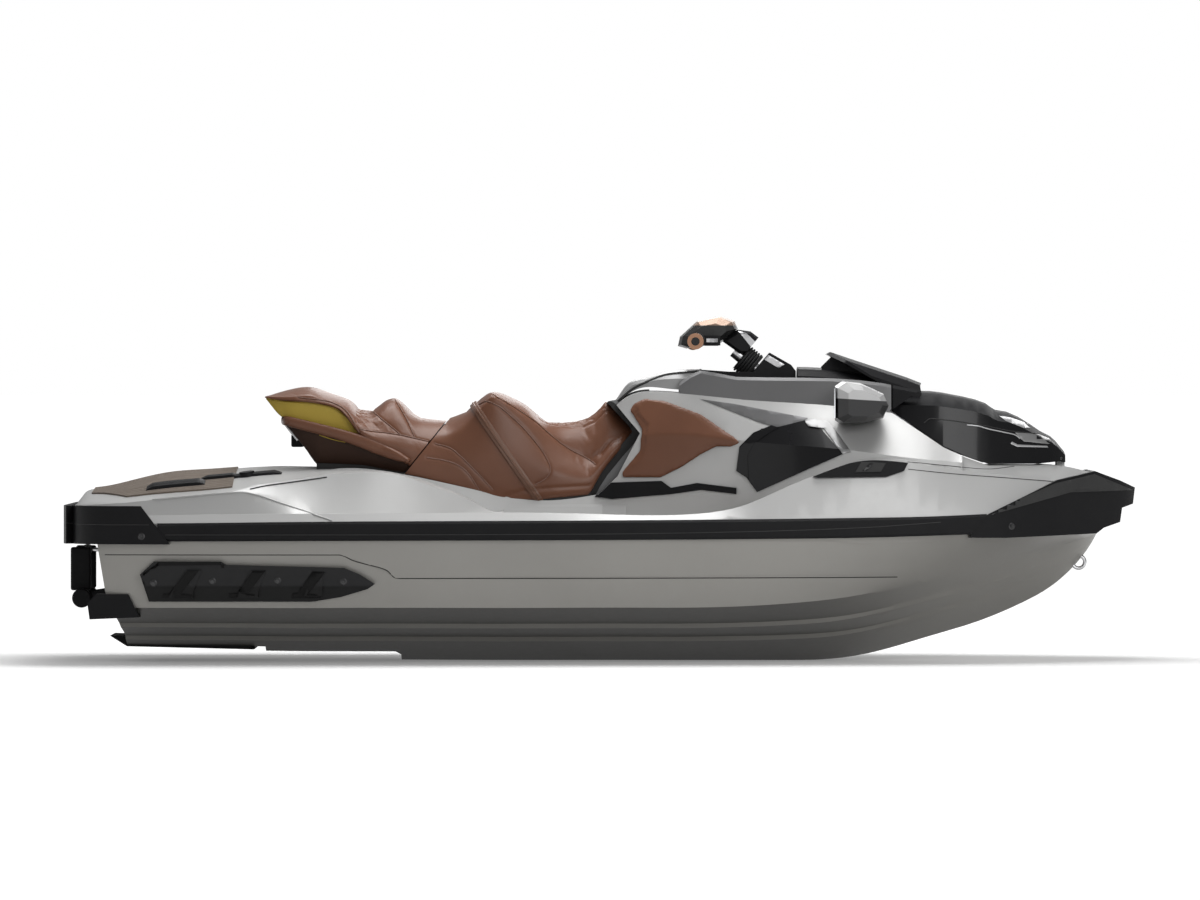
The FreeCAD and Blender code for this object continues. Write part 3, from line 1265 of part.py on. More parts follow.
impeller_set = size("impeller_set", 150)
impeller_length = size("impeller_length", 90)
hub_radius = size("hub_radius", 30)
blade_chord = size("blade_chord", 84)
blade_thickness = size("blade_thickness", 5)
blade_lead = size("blade_lead", 12)
blade_tip_gap = size("blade_tip_gap", 1.5)
blade_pitch = 38
impeller_start = pump_mouth - impeller_set
impeller_at = (impeller_start, zero, shaft_height)
impeller_hub = cylinder("impeller_hub", hub_radius, impeller_length, impeller_at, along_x)
blades = []
for i in range(4):
    turn = FreeCAD.Rotation(Vector(1, 0, 0), 90 * i) * FreeCAD.Rotation(Vector(0, 0, 1), blade_pitch)
    blade_at = (impeller_start + blade_lead, zero, shaft_height)
    blades.append(box(f"blade_{i}", blade_chord, blade_thickness, pump_bore - blade_tip_gap * 2, blade_at, turn))
blade_limit = cylinder("blade_limit", pump_bore - blade_tip_gap, impeller_length, impeller_at, along_x)
trimmed = doc.addObject("Part::Common", "trimmed_blades")
trimmed.Base = fuse("blade_set", [impeller_hub] + blades)
trimmed.Tool = blade_limit
keep(trimmed, "impeller")
shaft_length = bay_rear - impeller_start - impeller_length
shaft_at = (impeller_start + impeller_length, zero, shaft_height)
keep(cylinder("drive_shaft", shaft_radius, shaft_length, shaft_at, along_x), "drive_shaft")
engine_rear = size("engine_rear", 10)
engine_front = size("engine_front", 50)
engine_side = size("engine_side", 15)
engine_head = size("engine_head", 20)
keep(
    box(
        "engine_block", bay_length - engine_rear - engine_front, bay_half * 2 - engine_side * 2,
        bay_height - engine_head, (bay_rear + engine_rear, -bay_half + engine_side, bay_floor),
    ),
    "engine_block",
)
grate_length = size("grate_length", 360)
grate_gap = size("grate_gap", 32)
grate_height = size("grate_height", 36)
grate_pitch = size("grate_pitch", 36)
cross_start = size("cross_start", 60)
bars = []
for i in range(5):
    bar_at = (pump_mouth + grate_gap, grate_pitch * (i - 2) - plate / 2, grate_height)
    bars.append(box(f"grate_bar_{i}", grate_length, plate, plate * 1.5, bar_at))
for i in range(3):
    cross_at = (pump_mouth + cross_start + grate_length * (0.4 * i), -duct_half, grate_height + plate / 8)
    bars.append(box(f"grate_cross_{i}", plate, duct_half * 2, plate, cross_at))
keep(fuse("intake_grate", bars), "intake_grate")

# Boarding ladder folded against the stern, on two brackets
ladder_pivot = (size("ladder_x", 49), size("ladder_z", 206))
ladder_half = size("ladder_half", 166)
ladder_rise = size("ladder_rise", 150)
tube = size("ladder_tube", 11)
ladder_gap = size("ladder_gap", 18)
ladder_pin_reach = size("ladder_pin_reach", 36)
ladder_step_reach = size("ladder_step_reach", 10)
bracket_length = size("bracket_length", 120)
bracket_boss = size("bracket_boss", 16)
bracket_drop = size("bracket_drop", 40)
bracket_rise = size("bracket_rise", 34)
bracket_points = [
    (-bracket_boss, -bracket_boss), (bracket_length / 4, bracket_drop / -2), (bracket_length, -bracket_drop),
    (bracket_length, bracket_rise), (bracket_boss, bracket_rise / 2), (-bracket_boss, bracket_boss),
]
bracket_x, bracket_z = ladder_pivot
brackets = []
for side, sign in (("left", 1), ("right", -1)):
    y = (ladder_half + ladder_gap) * sign
    plate_body = new_body("bracket_plate_" + side, (bracket_x, y, bracket_z))
    pad(plate_body, "XZ_Plane", bracket_points, plate * 1.5)
    bore_at = (bracket_x, y - plate * 2, bracket_z)
    bore = cylinder("bracket_bore_" + side, pin_radius + pin_gap, plate * 4, bore_at, along_y)
    brackets.append(cut("bracket_" + side, plate_body, bore))
transom_field_shares = ((0, 0.08), (0.075, 0.08), (0.075, 0.30), (0, 0.30))
hull_copy = doc.addObject("Part::Feature", "transom_face")
transom_half = float(ladder_half * 1.5)
hull_copy.Shape = hull.common(side_prism(outline(transom_field_shares), -transom_half, transom_half))
hull_copy.Placement = FreeCAD.Placement(Vector(*(float(v) for v in shift)), FreeCAD.Rotation())
for side, piece in zip(("left", "right"), brackets):
    keep(cut("ladder_bracket_" + side, piece, hull_copy), "ladder_bracket_" + side)
arm_y = ladder_half - tube
ladder_pin = tube + ladder_pin_reach
ladder_solids = [
    cylinder("ladder_arm_left", tube, ladder_rise, (bracket_x, arm_y, bracket_z)),
    cylinder("ladder_arm_right", tube, ladder_rise, (bracket_x, -arm_y, bracket_z)),
    cylinder(
        "ladder_step", tube * 1.6, (arm_y + ladder_step_reach) * 2,
        (bracket_x, -arm_y - ladder_step_reach, bracket_z + ladder_rise), along_y,
    ),
    cylinder("ladder_rung", tube * 0.8, arm_y * 2, (bracket_x, -arm_y, bracket_z + ladder_rise * 0.45), along_y),
    cylinder("ladder_pin_left", pin_radius, ladder_pin, (bracket_x, arm_y, bracket_z), along_y),
    cylinder("ladder_pin_right", pin_radius, ladder_pin, (bracket_x, -arm_y - ladder_pin, bracket_z), along_y),
]
keep(fuse("ladder", ladder_solids), "ladder")

# Cargo cleats on the rear deck
cleat_radius = size("cleat_radius", 24)
cleat_x = size("cleat_x", 585)
cleat_y = size("cleat_y", 300)
cleat_rise = size("cleat_rise", 16)
for side, sign in (("left", 1), ("right", -1)):
    place_x, place_y = float(cleat_x), float(cleat_y) * sign
    column = Part.makeCylinder(float(cleat_radius), joint_z, Vector(place_x, place_y, joint_z))
    cleat = deck.common(column).translated(Vector(0, 0, float(cleat_rise))).cut(deck)
    moulding("cargo_cleat_" + side, largest(cleat))

doc.recompute()
for item in doc.Objects:
    if "Invalid" in item.State or "Error" in item.State:
        raise RuntimeError("not rebuilt: " + item.Label)
os.makedirs("parts", exist_ok=True)
for item in parts:
    if item.Shape.isNull() or not item.Shape.isValid():
        raise RuntimeError("bad shape: " + item.Label)
    item.Shape.exportStep(f"parts/{item.Label}.step")
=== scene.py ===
"""Personal watercraft: the finishes of its mouldings, its seats, and a studio to show it in."""

import math

import bmesh
import bpy
import numpy as np
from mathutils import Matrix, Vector
from mathutils.bvhtree import BVHTree
from mathutils.kdtree import KDTree


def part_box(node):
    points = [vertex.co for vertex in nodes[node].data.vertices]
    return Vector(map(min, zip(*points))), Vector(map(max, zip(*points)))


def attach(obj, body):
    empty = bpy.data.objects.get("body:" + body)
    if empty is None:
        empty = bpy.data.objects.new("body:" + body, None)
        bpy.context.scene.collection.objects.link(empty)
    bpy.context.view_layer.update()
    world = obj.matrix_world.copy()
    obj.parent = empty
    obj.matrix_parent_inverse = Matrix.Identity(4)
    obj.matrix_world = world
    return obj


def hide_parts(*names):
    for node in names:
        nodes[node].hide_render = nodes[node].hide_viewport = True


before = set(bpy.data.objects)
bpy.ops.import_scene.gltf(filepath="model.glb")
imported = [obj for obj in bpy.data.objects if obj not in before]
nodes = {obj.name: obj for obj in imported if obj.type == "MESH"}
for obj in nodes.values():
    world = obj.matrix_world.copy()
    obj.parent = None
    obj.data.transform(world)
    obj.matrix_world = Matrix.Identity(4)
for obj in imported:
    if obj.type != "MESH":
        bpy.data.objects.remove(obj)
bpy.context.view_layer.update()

# Studio: the craft stands on a pale floor that fades into a white room. A long lens looks square
# at the starboard side, a broad soft light hangs over the craft, and a weaker one is behind the camera.
photo_pixel = 3.246e-3
photo_width = 1200
sensor_width = 36
lens_distance = 30.0
lens_tilt = math.radians(0.5)
aim = Vector((-0.0046, 0, 0.4317))


def linked(name, data):
    """Puts a mesh, curve, light or camera into the scene under a name."""
    item = bpy.data.objects.new(name, data)
    bpy.context.scene.collection.objects.link(item)
    return item


camera = linked("camera", bpy.data.cameras.new("camera"))
camera.data.lens = sensor_width * lens_distance / photo_width / photo_pixel
camera.data.clip_end = 500
camera.location = aim + lens_distance * Vector((0, -math.cos(lens_tilt), math.sin(lens_tilt)))
camera.rotation_euler = (math.pi / 2 - lens_tilt, 0, 0)
bpy.context.scene.camera = camera
bpy.context.scene.view_settings.view_transform = "Standard"


class Value:
    """A number or colour on its way through a finish; sums on it add the nodes that work them out."""

    def __init__(self, finish, socket):
        self.finish = finish
        self.socket = socket

    def math(self, operation, *inputs):
        return self.finish.node("Math", {"operation": operation}, dict(enumerate(inputs)))

    def __add__(self, other):
        return self.math("ADD", self, other)

    def __radd__(self, other):
        return self.math("ADD", other, self)

    def __sub__(self, other):
        return self.math("SUBTRACT", self, other)

    def __rsub__(self, other):
        return self.math("SUBTRACT", other, self)

    def __mul__(self, other):
        return self.math("MULTIPLY", self, other)

    def __truediv__(self, other):
        return self.math("DIVIDE", self, other)

    def __pow__(self, other):
        return self.math("POWER", self, other)

    def rise(self, low, high):
        """0 below low, 1 above high, and a smooth slope between them."""
        sockets = {0: self, 1: low, 2: high}
        return self.finish.node("MapRange", {"interpolation_type": "SMOOTHSTEP"}, sockets)


class Finish:
    """A material of nodes. What is the same all over it is written on its shader's own sockets."""

    def __init__(self, name, **constants):
        self.material = bpy.data.materials.new(name)
        self.material.use_nodes = True
        self.shader = self.material.node_tree.nodes["Principled BSDF"]
        for key, value in constants.items():
            self.shader.inputs[key.replace("_", " ")].default_value = value
        self.place = self.node("TexCoord", out="Object")

    def node(self, kind, settings={}, inputs={}, out=0):
        made = self.material.node_tree.nodes.new("ShaderNode" + kind)
        for key, value in settings.items():
            setattr(made, key, value)
        for key, value in inputs.items():
            if isinstance(value, Value):
                self.material.node_tree.links.new(value.socket, made.inputs[key])
            elif made.inputs[key].type == "RGBA":
                colour = value if isinstance(value, tuple) else (value,) * 3
                made.inputs[key].default_value = colour + (1,)
            else:
                made.inputs[key].default_value = value
        return Value(self, made.outputs[out])

    def mix(self, share, none, full):
        """One colour where share is 0 and another where it is 1; a single number is a grey."""
        return self.node("Mix", {"data_type": "RGBA"}, {0: share, 6: none, 7: full}, 2)

    def cloud(self, scale, detail=2.0, stretch=(1, 1, 1)):
        """Soft random patches over the piece, about scale of them to the metre."""
        place = self.node("Mapping", inputs={"Vector": self.place, "Scale": stretch})
        return self.node("TexNoise", inputs={"Vector": place, "Scale": scale, "Detail": detail})

    def pebbles(self, scale):
        """Rounded cells over the piece: 0 at the middle of each and up to 1 between them."""
        return self.node("TexVoronoi", inputs={"Vector": self.place, "Scale": scale})

    def along(self, axis):
        """Where a point of the piece is, in metres along x, y or z."""
        return self.node("SeparateXYZ", inputs={0: self.place}, out="xyz".index(axis))

    def facing_up(self):
        """How far a point of the piece faces up: 1 on a level top, -1 on a level underside."""
        normal = self.node("TexCoord", out="Normal")
        return self.node("SeparateXYZ", inputs={0: normal}, out=2)

    def feed(self, **wires):
        for key, wire in wires.items():
            self.material.node_tree.links.new(wire.socket, self.shader.inputs[key.replace("_", " ")])
        return self

    def relief(self, height, depth):
        """Presses a pattern into the finish, from nothing where it is 1 to depth metres where it is 0."""
        return self.feed(Normal=self.node("Bump", inputs={"Height": height, "Distance": depth}))

    def dress(self, *pieces):
        for piece in pieces:
            piece.data.materials.clear()
            piece.data.materials.append(self.material)


def soft_light(name, place, target, width, height, power):
    light = linked(name, bpy.data.lights.new(name, "AREA"))
    light.data.shape = "RECTANGLE"
    light.data.size = width
    light.data.size_y = height
    light.data.energy = power
    light.location = place
    light.rotation_euler = (Vector(target) - Vector(place)).to_track_quat("-Z", "Y").to_euler()


soft_light("overhead_light", (0.2, 0.1, 3.6), (0.1, 0, 0), 4.6, 1.8, 135)
soft_light("camera_light", (3.4, -6.4, 2.4), (0.5, 0, 0.3), 3.4, 2.4, 125)
soft_light("far_side_light", (1.5, 7.0, 3.0), (0, 0, 0.3), 5.0, 2.4, 110)

keel_height = -0.25
floor_reach = 600
bpy.ops.object.select_all(action="DESELECT")
bpy.ops.mesh.primitive_plane_add(size=floor_reach, location=(0, 0, keel_height))
floor = bpy.context.object
floor.name = "studio_floor"
floor_finish = Finish("studio_floor", Roughness=0.95, Specular_IOR_Level=0.0, Emission_Strength=1.0)
camera_ray, mirrored, through = (
    floor_finish.node("LightPath", out=f"Is {kind} Ray") for kind in ("Camera", "Glossy", "Transmission")
)
shown = camera_ray + mirrored + through
pool_length, pool_breadth, floor_glow = 2.5, 1.5, 0.16
pool_edge = (0.55, 1.25)
from_craft = (floor_finish.along("x") / pool_length) ** 2 + (floor_finish.along("y") / pool_breadth) ** 2
far_off = from_craft.rise(*pool_edge)
floor_finish.feed(
    Base_Color=floor_finish.mix(shown * (1 - far_off), 0.24, 0.90),
    Emission_Color=floor_finish.mix(shown * (floor_glow + far_off * (1 - floor_glow)), 0.0, 1.0),
)
floor_finish.dress(floor)
bpy.ops.object.transform_apply(location=True)

room = bpy.data.worlds.new("studio_room")
bpy.context.scene.world = room
room.use_nodes = True
room_light = 0.34
room_nodes, room_links = room.node_tree.nodes, room.node_tree.links
brightness = room_nodes.new("ShaderNodeMath")
brightness.operation = "MULTIPLY_ADD"
brightness.inputs[1].default_value = 1 - room_light
brightness.inputs[2].default_value = room_light
room_nodes["Background"].inputs["Color"].default_value = (1, 1, 1, 1)
room_links.new(room_nodes.new("ShaderNodeLightPath").outputs["Is Camera Ray"], brightness.inputs[0])
room_links.new(brightness.outputs[0], room_nodes["Background"].inputs["Strength"])

# Hull: one moulding of fibre composite under taupe gelcoat with a fine metal flake and a clear coat.
# Where the hull faces down below the chine, its gelcoat is painted much darker as painted shade, less so
# towards the bow.
bpy.ops.object.select_all(action="DESELECT")
weld_gap = 2e-5
crease = math.radians(28)


def solids(*names):
    """The solids of these names; a name that ends in _ stands for the left and the right one."""
    return [nodes[name + end] for name in names for end in (("left", "right") if name[-1] == "_" else ("",))]


def coat(finish, *names):
    """Dresses solids and rounds the shading of each between its creases."""
    for piece in solids(*names):
        finish.dress(piece)
        piece.modifiers.new("weld", "WELD").merge_threshold = weld_gap
        piece.modifiers.new("creases", "EDGE_SPLIT").split_angle = crease
        piece.data.shade_smooth()


def gelcoat(name, deep, pale):
    """Gelcoat: a metal flake too fine to see singly, a slow drift of shade, and a clear coat."""
    finish = Finish(name, Metallic=0.35, Coat_Weight=0.3, Coat_Roughness=0.22)
    flake = finish.pebbles(1500) * 0.45
    drift = finish.cloud(2.5, 3) * 0.7
    finish.shade = finish.mix(flake + drift, deep, pale)
    return finish.feed(Base_Color=finish.shade, Roughness=finish.cloud(45) * 0.08 + 0.44)


hull_gelcoat = gelcoat("taupe_gelcoat", (0.30, 0.29, 0.27), (0.38, 0.37, 0.345))
# Painted shade: the gelcoat darkens where the hull faces down, and fades out towards the bow.
ahead = hull_gelcoat.along("x").rise(0.5, 1.2)
painted_bottom_shade = (1 - hull_gelcoat.facing_up().rise(-0.84, -0.68)) * (1 - ahead)
hull_gelcoat.feed(Base_Color=hull_gelcoat.mix(painted_bottom_shade, hull_gelcoat.shade, (0.13, 0.126, 0.118)))
coat(hull_gelcoat, "hull")

# Deck: the same kind of moulding in bright silver gelcoat, bonded and screwed to the hull behind the
# rub rails.
deck_gelcoat = gelcoat("silver_gelcoat", (0.46, 0.46, 0.455), (0.56, 0.56, 0.555))
coat(deck_gelcoat, "deck")


# Bumpers, rub rails and small trims: black polymer, moulded against a fine pebbled tool.
# They are screwed over the joint of hull and deck and along the sides.
def plain(name, drift, deep, pale, grain, spread, low, **constants):
    """A finish that drifts between two close colours; its roughness varies by spread above low."""
    finish = Finish(name, **constants)
    colour = finish.mix(finish.cloud(*drift), deep, pale)
    return finish.feed(Base_Color=colour, Roughness=finish.cloud(*grain) * spread + low)


black_polymer = plain(
    "black_polymer", (9, 3), (0.006, 0.006, 0.007), (0.012, 0.012, 0.013), (60,), 0.14, 0.42,
    Specular_IOR_Level=0.16,
)
black_polymer.relief(black_polymer.pebbles(850), 0.0002)
coat(
    black_polymer, "rub_rail_", "transom_foot_", "foot_trim_", "vent_", "cargo_cleat_", "ladder_bracket_",
    "stern_bumper", "bow_bumper", "ride_plate", "handlebar_neck", "handlebar_tube", "steering_base", "dash",
    "ladder",
)

# Hood, cowls and wind deflector: black polymer polished in the tool, with a duller grain on top. The
# hood is hinged at its front, and the cowls are clipped to the deck beside the knees.
gloss_black = Finish("gloss_black", Coat_Roughness=0.08, Coat_IOR=1.35, Specular_IOR_Level=0.12)
on_top = gloss_black.facing_up().rise(0.45, 0.85)
gloss_black.feed(
    Base_Color=gloss_black.mix(gloss_black.cloud(5), (0.005, 0.005, 0.006), (0.011, 0.011, 0.012)),
    Roughness=gloss_black.cloud(50) * 0.06 + on_top * 0.3 + 0.22,
    Coat_Weight=(1 - on_top) * 0.4,
)
coat(gloss_black, "hood", "deflector", "side_cowl_")


# Dash fairings and glove box lid: injection-moulded panels under satin paint, in dark metallic grey
# and in silver. The fairings are clipped along the console, the lid is hinged below the handlebar.
def flaked(name, deep, pale, low, **constants):
    """Satin paint: a fine metal flake over a slow drift of shade."""
    finish = Finish(name, **constants)
    flake = finish.pebbles(1400) * 0.5 + finish.cloud(4) * 0.4
    return finish.feed(Base_Color=finish.mix(flake, deep, pale), Roughness=finish.cloud(60) * 0.08 + low)


dark_satin = flaked(
    "dark_satin", (0.145, 0.145, 0.147), (0.205, 0.205, 0.208), 0.36,
    Metallic=0.5, Coat_Weight=0.15, Coat_Roughness=0.3,
)
coat(dark_satin, "side_fairing_")
lid_silver = flaked("lid_silver", 0.24, 0.33, 0.34, Metallic=0.6, Coat_Weight=0.2, Coat_Roughness=0.2)
coat(lid_silver, "glove_lid")

# Seats: the passenger cushion, the raised tail behind it and the long saddle are foam blocks under
# moulded brown vinyl, sewn in panels. They sit on a plastic base and meet at a slanting joint.
# Each shape is drawn fair through places seen square from the side, in pixels of that view.
bpy.ops.object.select_all(action="DESELECT")
vinyl = plain(
    "brown_vinyl", (6, 3), (0.140, 0.055, 0.028), (0.190, 0.078, 0.042), (90,), 0.12, 0.31,
    Specular_IOR_Level=0.4,
)
vinyl.relief(vinyl.pebbles(420) * 0.6 + vinyl.cloud(700, 3) * 0.4, 0.0003)
stern_column, keel_row, stern_place = 70, 660, -1.725
clear_off = 2.0


def seen(px, py):
    """The place along the craft and the height, in metres, of a pixel of the side view."""
    return (px - stern_column) * photo_pixel + stern_place, (keel_row - py) * photo_pixel + keel_height


def spot(px, py, y=0.0):
    """A pixel of the side view as a point in space, y metres to port."""
    x, z = seen(px, py)
    return Vector((x, y, z))


def column(x):
    """The pixel column of the side view at a place along the craft."""
    return (x - stern_place) / photo_pixel + stern_column


def fair_line(table, at):
    """A fair line through (place, value) pairs that never runs past a peak."""
    xs, ys = np.array(table, float).T
    steps, slopes = np.diff(xs), np.diff(ys) / np.diff(xs)
    lean = np.zeros(len(xs))
    lean[0], lean[-1] = slopes[0], slopes[-1]
    same = slopes[:-1] * slopes[1:] > 0
    both_ways = np.where(same, slopes[:-1] + slopes[1:], 1)
    lean[1:-1] = np.where(same, 2 * slopes[:-1] * slopes[1:] / both_ways, 0)
    i = np.clip(np.searchsorted(xs, at) - 1, 0, len(xs) - 2)
    t = np.clip((np.asarray(at) - xs[i]) / steps[i], 0, 1)
    rise = ys[i] * (2 * t**3 - 3 * t**2 + 1) + ys[i + 1] * (3 * t**2 - 2 * t**3)
    return rise + steps[i] * (lean[i] * (t**3 - 2 * t**2 + t) + lean[i + 1] * (t**3 - t**2))


def skinned(name, rings, closed=True):
    """A piece stretched over rings of points, its faces turned outwards; a closed one gets end caps."""
    count, last = len(rings[0]), (len(rings) - 1) * len(rings[0])
    faces = [
        (i + j, i + (j + 1) % count, i + count + (j + 1) % count, i + count + j)
        for i in range(0, last, count)
        for j in range(count if closed else count - 1)
    ]
    if closed:
        faces += [tuple(range(count))[::-1], tuple(range(last, last + count))]
    mesh = bpy.data.meshes.new(name)
    mesh.from_pydata([p for ring in rings for p in ring], [], faces)
    skin = bmesh.new()
    skin.from_mesh(mesh)
    bmesh.ops.recalc_face_normals(skin, faces=skin.faces)
    skin.to_mesh(mesh)
    skin.free()
    return linked(name, mesh)


def stuffed_form(name, start, end, section, pitch=0.008, half_count=56):
    """A closed skin swept from one pixel column to another; section gives half of its outline at each."""
    columns = np.linspace(start, end, int((end - start) * photo_pixel / pitch) + 1)
    rings = []
    for px in columns:
        outline = np.array(section(px))
        run = np.concatenate(([0], np.cumsum(np.hypot(*np.diff(outline, axis=0).T) + 1e-9)))
        at = np.linspace(0, run[-1], half_count)
        y, z = (fair_line(np.column_stack((run, outline[:, k])), at) for k in (0, 1))
        x = seen(px, 0)[0]
        half = [(x, -v, w) for v, w in zip(y, z)]
        rings.append(half + [(a, -b, c) for a, b, c in half[-2:0:-1]])
    return skinned(name, rings)


def puff(form, held, swell):
    """Fills a cushion as foam fills its cover: cloth under pressure, held where held(place) is true."""
    rest = [v.co.copy() for v in form.data.vertices]
    pins = form.vertex_groups.new(name="held")
    pins.add([i for i, place in enumerate(rest) if held(place)], 1, "REPLACE")
    cover = form.modifiers.new("cover", "CLOTH")
    cover.settings.quality = 5
    cover.settings.use_pressure = True
    cover.settings.uniform_pressure_force = 4
    cover.settings.effector_weights.gravity = 0
    cover.settings.vertex_group_mass = "held"
    scene = bpy.context.scene
    for moment in range(1, 21):
        scene.frame_set(moment)
    filled = form.evaluated_get(bpy.context.evaluated_depsgraph_get())
    moved = [v.co.copy() for v in filled.data.vertices]
    form.modifiers.remove(cover)
    form.vertex_groups.clear()
    scene.frame_set(1)
    for vertex, before, after in zip(form.data.vertices, rest, moved):
        shift = after - before
        if shift.length > swell:
            shift *= swell / shift.length
        vertex.co = before + shift


def take_up(form, kind, **settings):
    """Adds one modifier and makes it part of the mesh."""
    bpy.ops.object.select_all(action="DESELECT")
    form.select_set(True)
    bpy.context.view_layer.objects.active = form
    modifier = form.modifiers.new("shape", kind)
    for key, value in settings.items():
        setattr(modifier, key, value)
    bpy.ops.object.modifier_apply(modifier=modifier.name)
    form.select_set(False)


def rounded(form, angle):
    """Rounds the shading between creases sharper than an angle in degrees."""
    form.data.shade_smooth()
    take_up(form, "EDGE_SPLIT", split_angle=math.radians(angle))


def fitted(piece, finish, body="craft", stands_for=None):
    """Dresses a piece, puts it on its body and hides the solid that it stands for."""
    finish.dress(piece)
    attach(piece, body)
    if stands_for:
        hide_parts(stands_for)
    return piece


def skin_of(*pieces):
    """The surface of some pieces, to lay things on."""
    skin = bmesh.new()
    for piece in pieces:
        skin.from_mesh(piece.data)
    tree = BVHTree.FromBMesh(skin)
    skin.free()
    return tree


def from_side(skin, x, z, side):
    """The place and normal where a line of sight square to one side first meets a skin."""
    return skin.ray_cast(Vector((x, side * clear_off, z)), Vector((0, -side, 0)))[:2]


def from_above(skin, x, y):
    return skin.ray_cast(Vector((x, y, clear_off)), Vector((0, 0, -1)))[0]


def on_sides(skin, lines, proud=0.0, step=0.004):
    """Carries lines drawn on the side view on to a skin: each on the near side, then mirrored."""
    carried = []
    for points in lines:
        places = [seen(*p) for p in points]
        run = np.concatenate(([0], np.cumsum([math.dist(a, b) for a, b in zip(places, places[1:])])))
        at = np.linspace(0, run[-1], max(int(run[-1] / step), 2))
        xs, zs = (fair_line(np.column_stack((run, np.array(places)[:, k])), at) for k in (0, 1))
        for side in (-1, 1):
            hits = [from_side(skin, x, z, side) for x, z in zip(xs, zs)]
            carried.append([place + normal * proud for place, normal in hits if place])
    return carried


def points_of(lines):
    """A search tree of all the points of some lines."""
    points = [place for line in lines for place in line]
    tree = KDTree(len(points))
    for k, place in enumerate(points):
        tree.insert(place, k)
    tree.balance()
    return tree


def press_lines(form, lines, width, depth):
    """Presses sewn lines into a cushion, deepest along each line and gone at width from it."""
    sewn = points_of(lines)
    normals = [v.normal.copy() for v in form.data.vertices]
    for vertex, normal in zip(form.data.vertices, normals):
        near = sewn.find(vertex.co)[2]
        if near < width:
            vertex.co -= normal * depth * (1 - near / width) ** 2


def piping(name, lines, radius):
    """Round cord sewn into the seams."""
    curve = bpy.data.curves.new(name, "CURVE")
    curve.dimensions = "3D"
    curve.bevel_depth = radius
    curve.bevel_resolution = 2
    for line in lines:
        spline = curve.splines.new("POLY")
        spline.points.add(len(line) - 1)
        for point, place in zip(spline.points, line):
            point.co = (*place, 1)
    return linked(name, curve)


# Outlines of the two seats, seen from the side: the top, the edge of the top and the foot, and the
# half breadths at the edge and at the hip. Both seats follow them, and are sewn in the same way.
rear_top = (
    (266.5, 396.1), (285, 391.6), (303, 387.5), (311, 386.9), (327, 393.5), (350, 400.5), (360, 410),
    (371, 411.2), (376, 408.2), (389, 399.2), (395, 398.1), (400, 400.6), (415.7, 415.2), (424, 418.5),
    (446, 420.6), (452, 421),
)
rear_edge = (
    (266.5, 396.6), (285, 396.5), (311, 395.5), (327, 400), (339, 404), (346, 408), (361, 421), (375, 428),
    (389, 430), (402, 431), (415, 435), (430, 439), (452, 446),
)
rear_foot = (
    (266.5, 397.6), (285, 400.5), (308, 402), (327, 405), (339, 409), (346, 415), (361, 434), (375, 444),
    (389, 452), (409, 464), (420, 470), (452, 474),
)
edge_breadth = (
    (262, 0.150), (300, 0.176), (350, 0.178), (380, 0.174), (430, 0.166), (470, 0.172), (493, 0.172),
    (520, 0.156), (550, 0.128), (590, 0.106), (622, 0.084), (637, 0.050),
)
hip_breadth = (
    (262, 0.158), (300, 0.192), (350, 0.200), (380, 0.203), (430, 0.200), (493, 0.196), (550, 0.186),
    (590, 0.150), (622, 0.112), (637, 0.060),
)


def cushion_section(top_line, edge_line, foot_line, dish):
    def section(px):
        top, edge, foot = (seen(px, fair_line(t, px))[1] for t in (top_line, edge_line, foot_line))
        side, hip = fair_line(edge_breadth, px), fair_line(hip_breadth, px)
        fall = top - edge
        bulge = min(0.5, (edge - foot) / 0.09)
        hip = side + (hip - side) * min(bulge * 2, 1)
        return [
            (0, top), (side * 0.35, top - fall * 0.06), (side * 0.62, top - fall * dish(px)),
            (side * 0.86, top - fall * 0.62), (side, edge),
            (side + (hip - side) * 0.6, edge - (edge - foot) * 0.3), (hip, edge - (edge - foot) * 0.62),
            (hip - 0.004 * bulge, foot + (edge - foot) * 0.12),
            (hip - 0.016 * bulge - 0.004, foot), (hip * 0.6, foot), (0, foot),
        ]

    return section


joint_top, joint_foot = spot(447, 421), spot(404, 475)
joint_normal = (joint_top - joint_foot).cross(Vector((0, 1, 0))).normalized()
joint_normal *= math.copysign(1, joint_normal.x)
joint_gap = 0.0018


def slice_through(mesh, place, normal, **settings):
    """Cuts all of a mesh along one plane."""
    everything = mesh.verts[:] + mesh.edges[:] + mesh.faces[:]
    bmesh.ops.bisect_plane(mesh, geom=everything, plane_co=place, plane_no=normal, **settings)


def cut_at_joint(form, ahead):
    """Keeps what lies ahead of the slanting joint, or behind it, and closes the cut."""
    skin = bmesh.new()
    skin.from_mesh(form.data)
    place = joint_top + joint_normal * (joint_gap if ahead else -joint_gap)
    slice_through(skin, place, joint_normal, clear_inner=ahead, clear_outer=not ahead)
    bmesh.ops.edgeloop_fill(skin, edges=[e for e in skin.edges if e.is_boundary])
    bmesh.ops.recalc_face_normals(skin, faces=skin.faces)
    skin.to_mesh(form.data)
    skin.free()


quilt_pitch, stitch_width = 0.034, 0.006


def quilt(form, inside, depth):
    """Presses crossing rows of stitches into a cushion, as far as inside(place, normal) is above 0."""
    moves = []
    for vertex in form.data.vertices:
        share = inside(vertex.co, vertex.normal)
        if share > 0:
            across = abs(vertex.co.y)
            rows = [(vertex.co.x * 0.8 + across * lean) / quilt_pitch for lean in (1, -1)]
            near = min(abs(row - round(row)) for row in rows) * quilt_pitch
            puffed = min(near / stitch_width, 1)
            moves.append((vertex, vertex.normal * depth * share * (puffed * (2 - puffed) - 1)))
    for vertex, move in moves:
        vertex.co += move


def within(value, low, high, soft):
    return max(0.0, min(1.0, (value - low) / soft, (high - value) / soft))


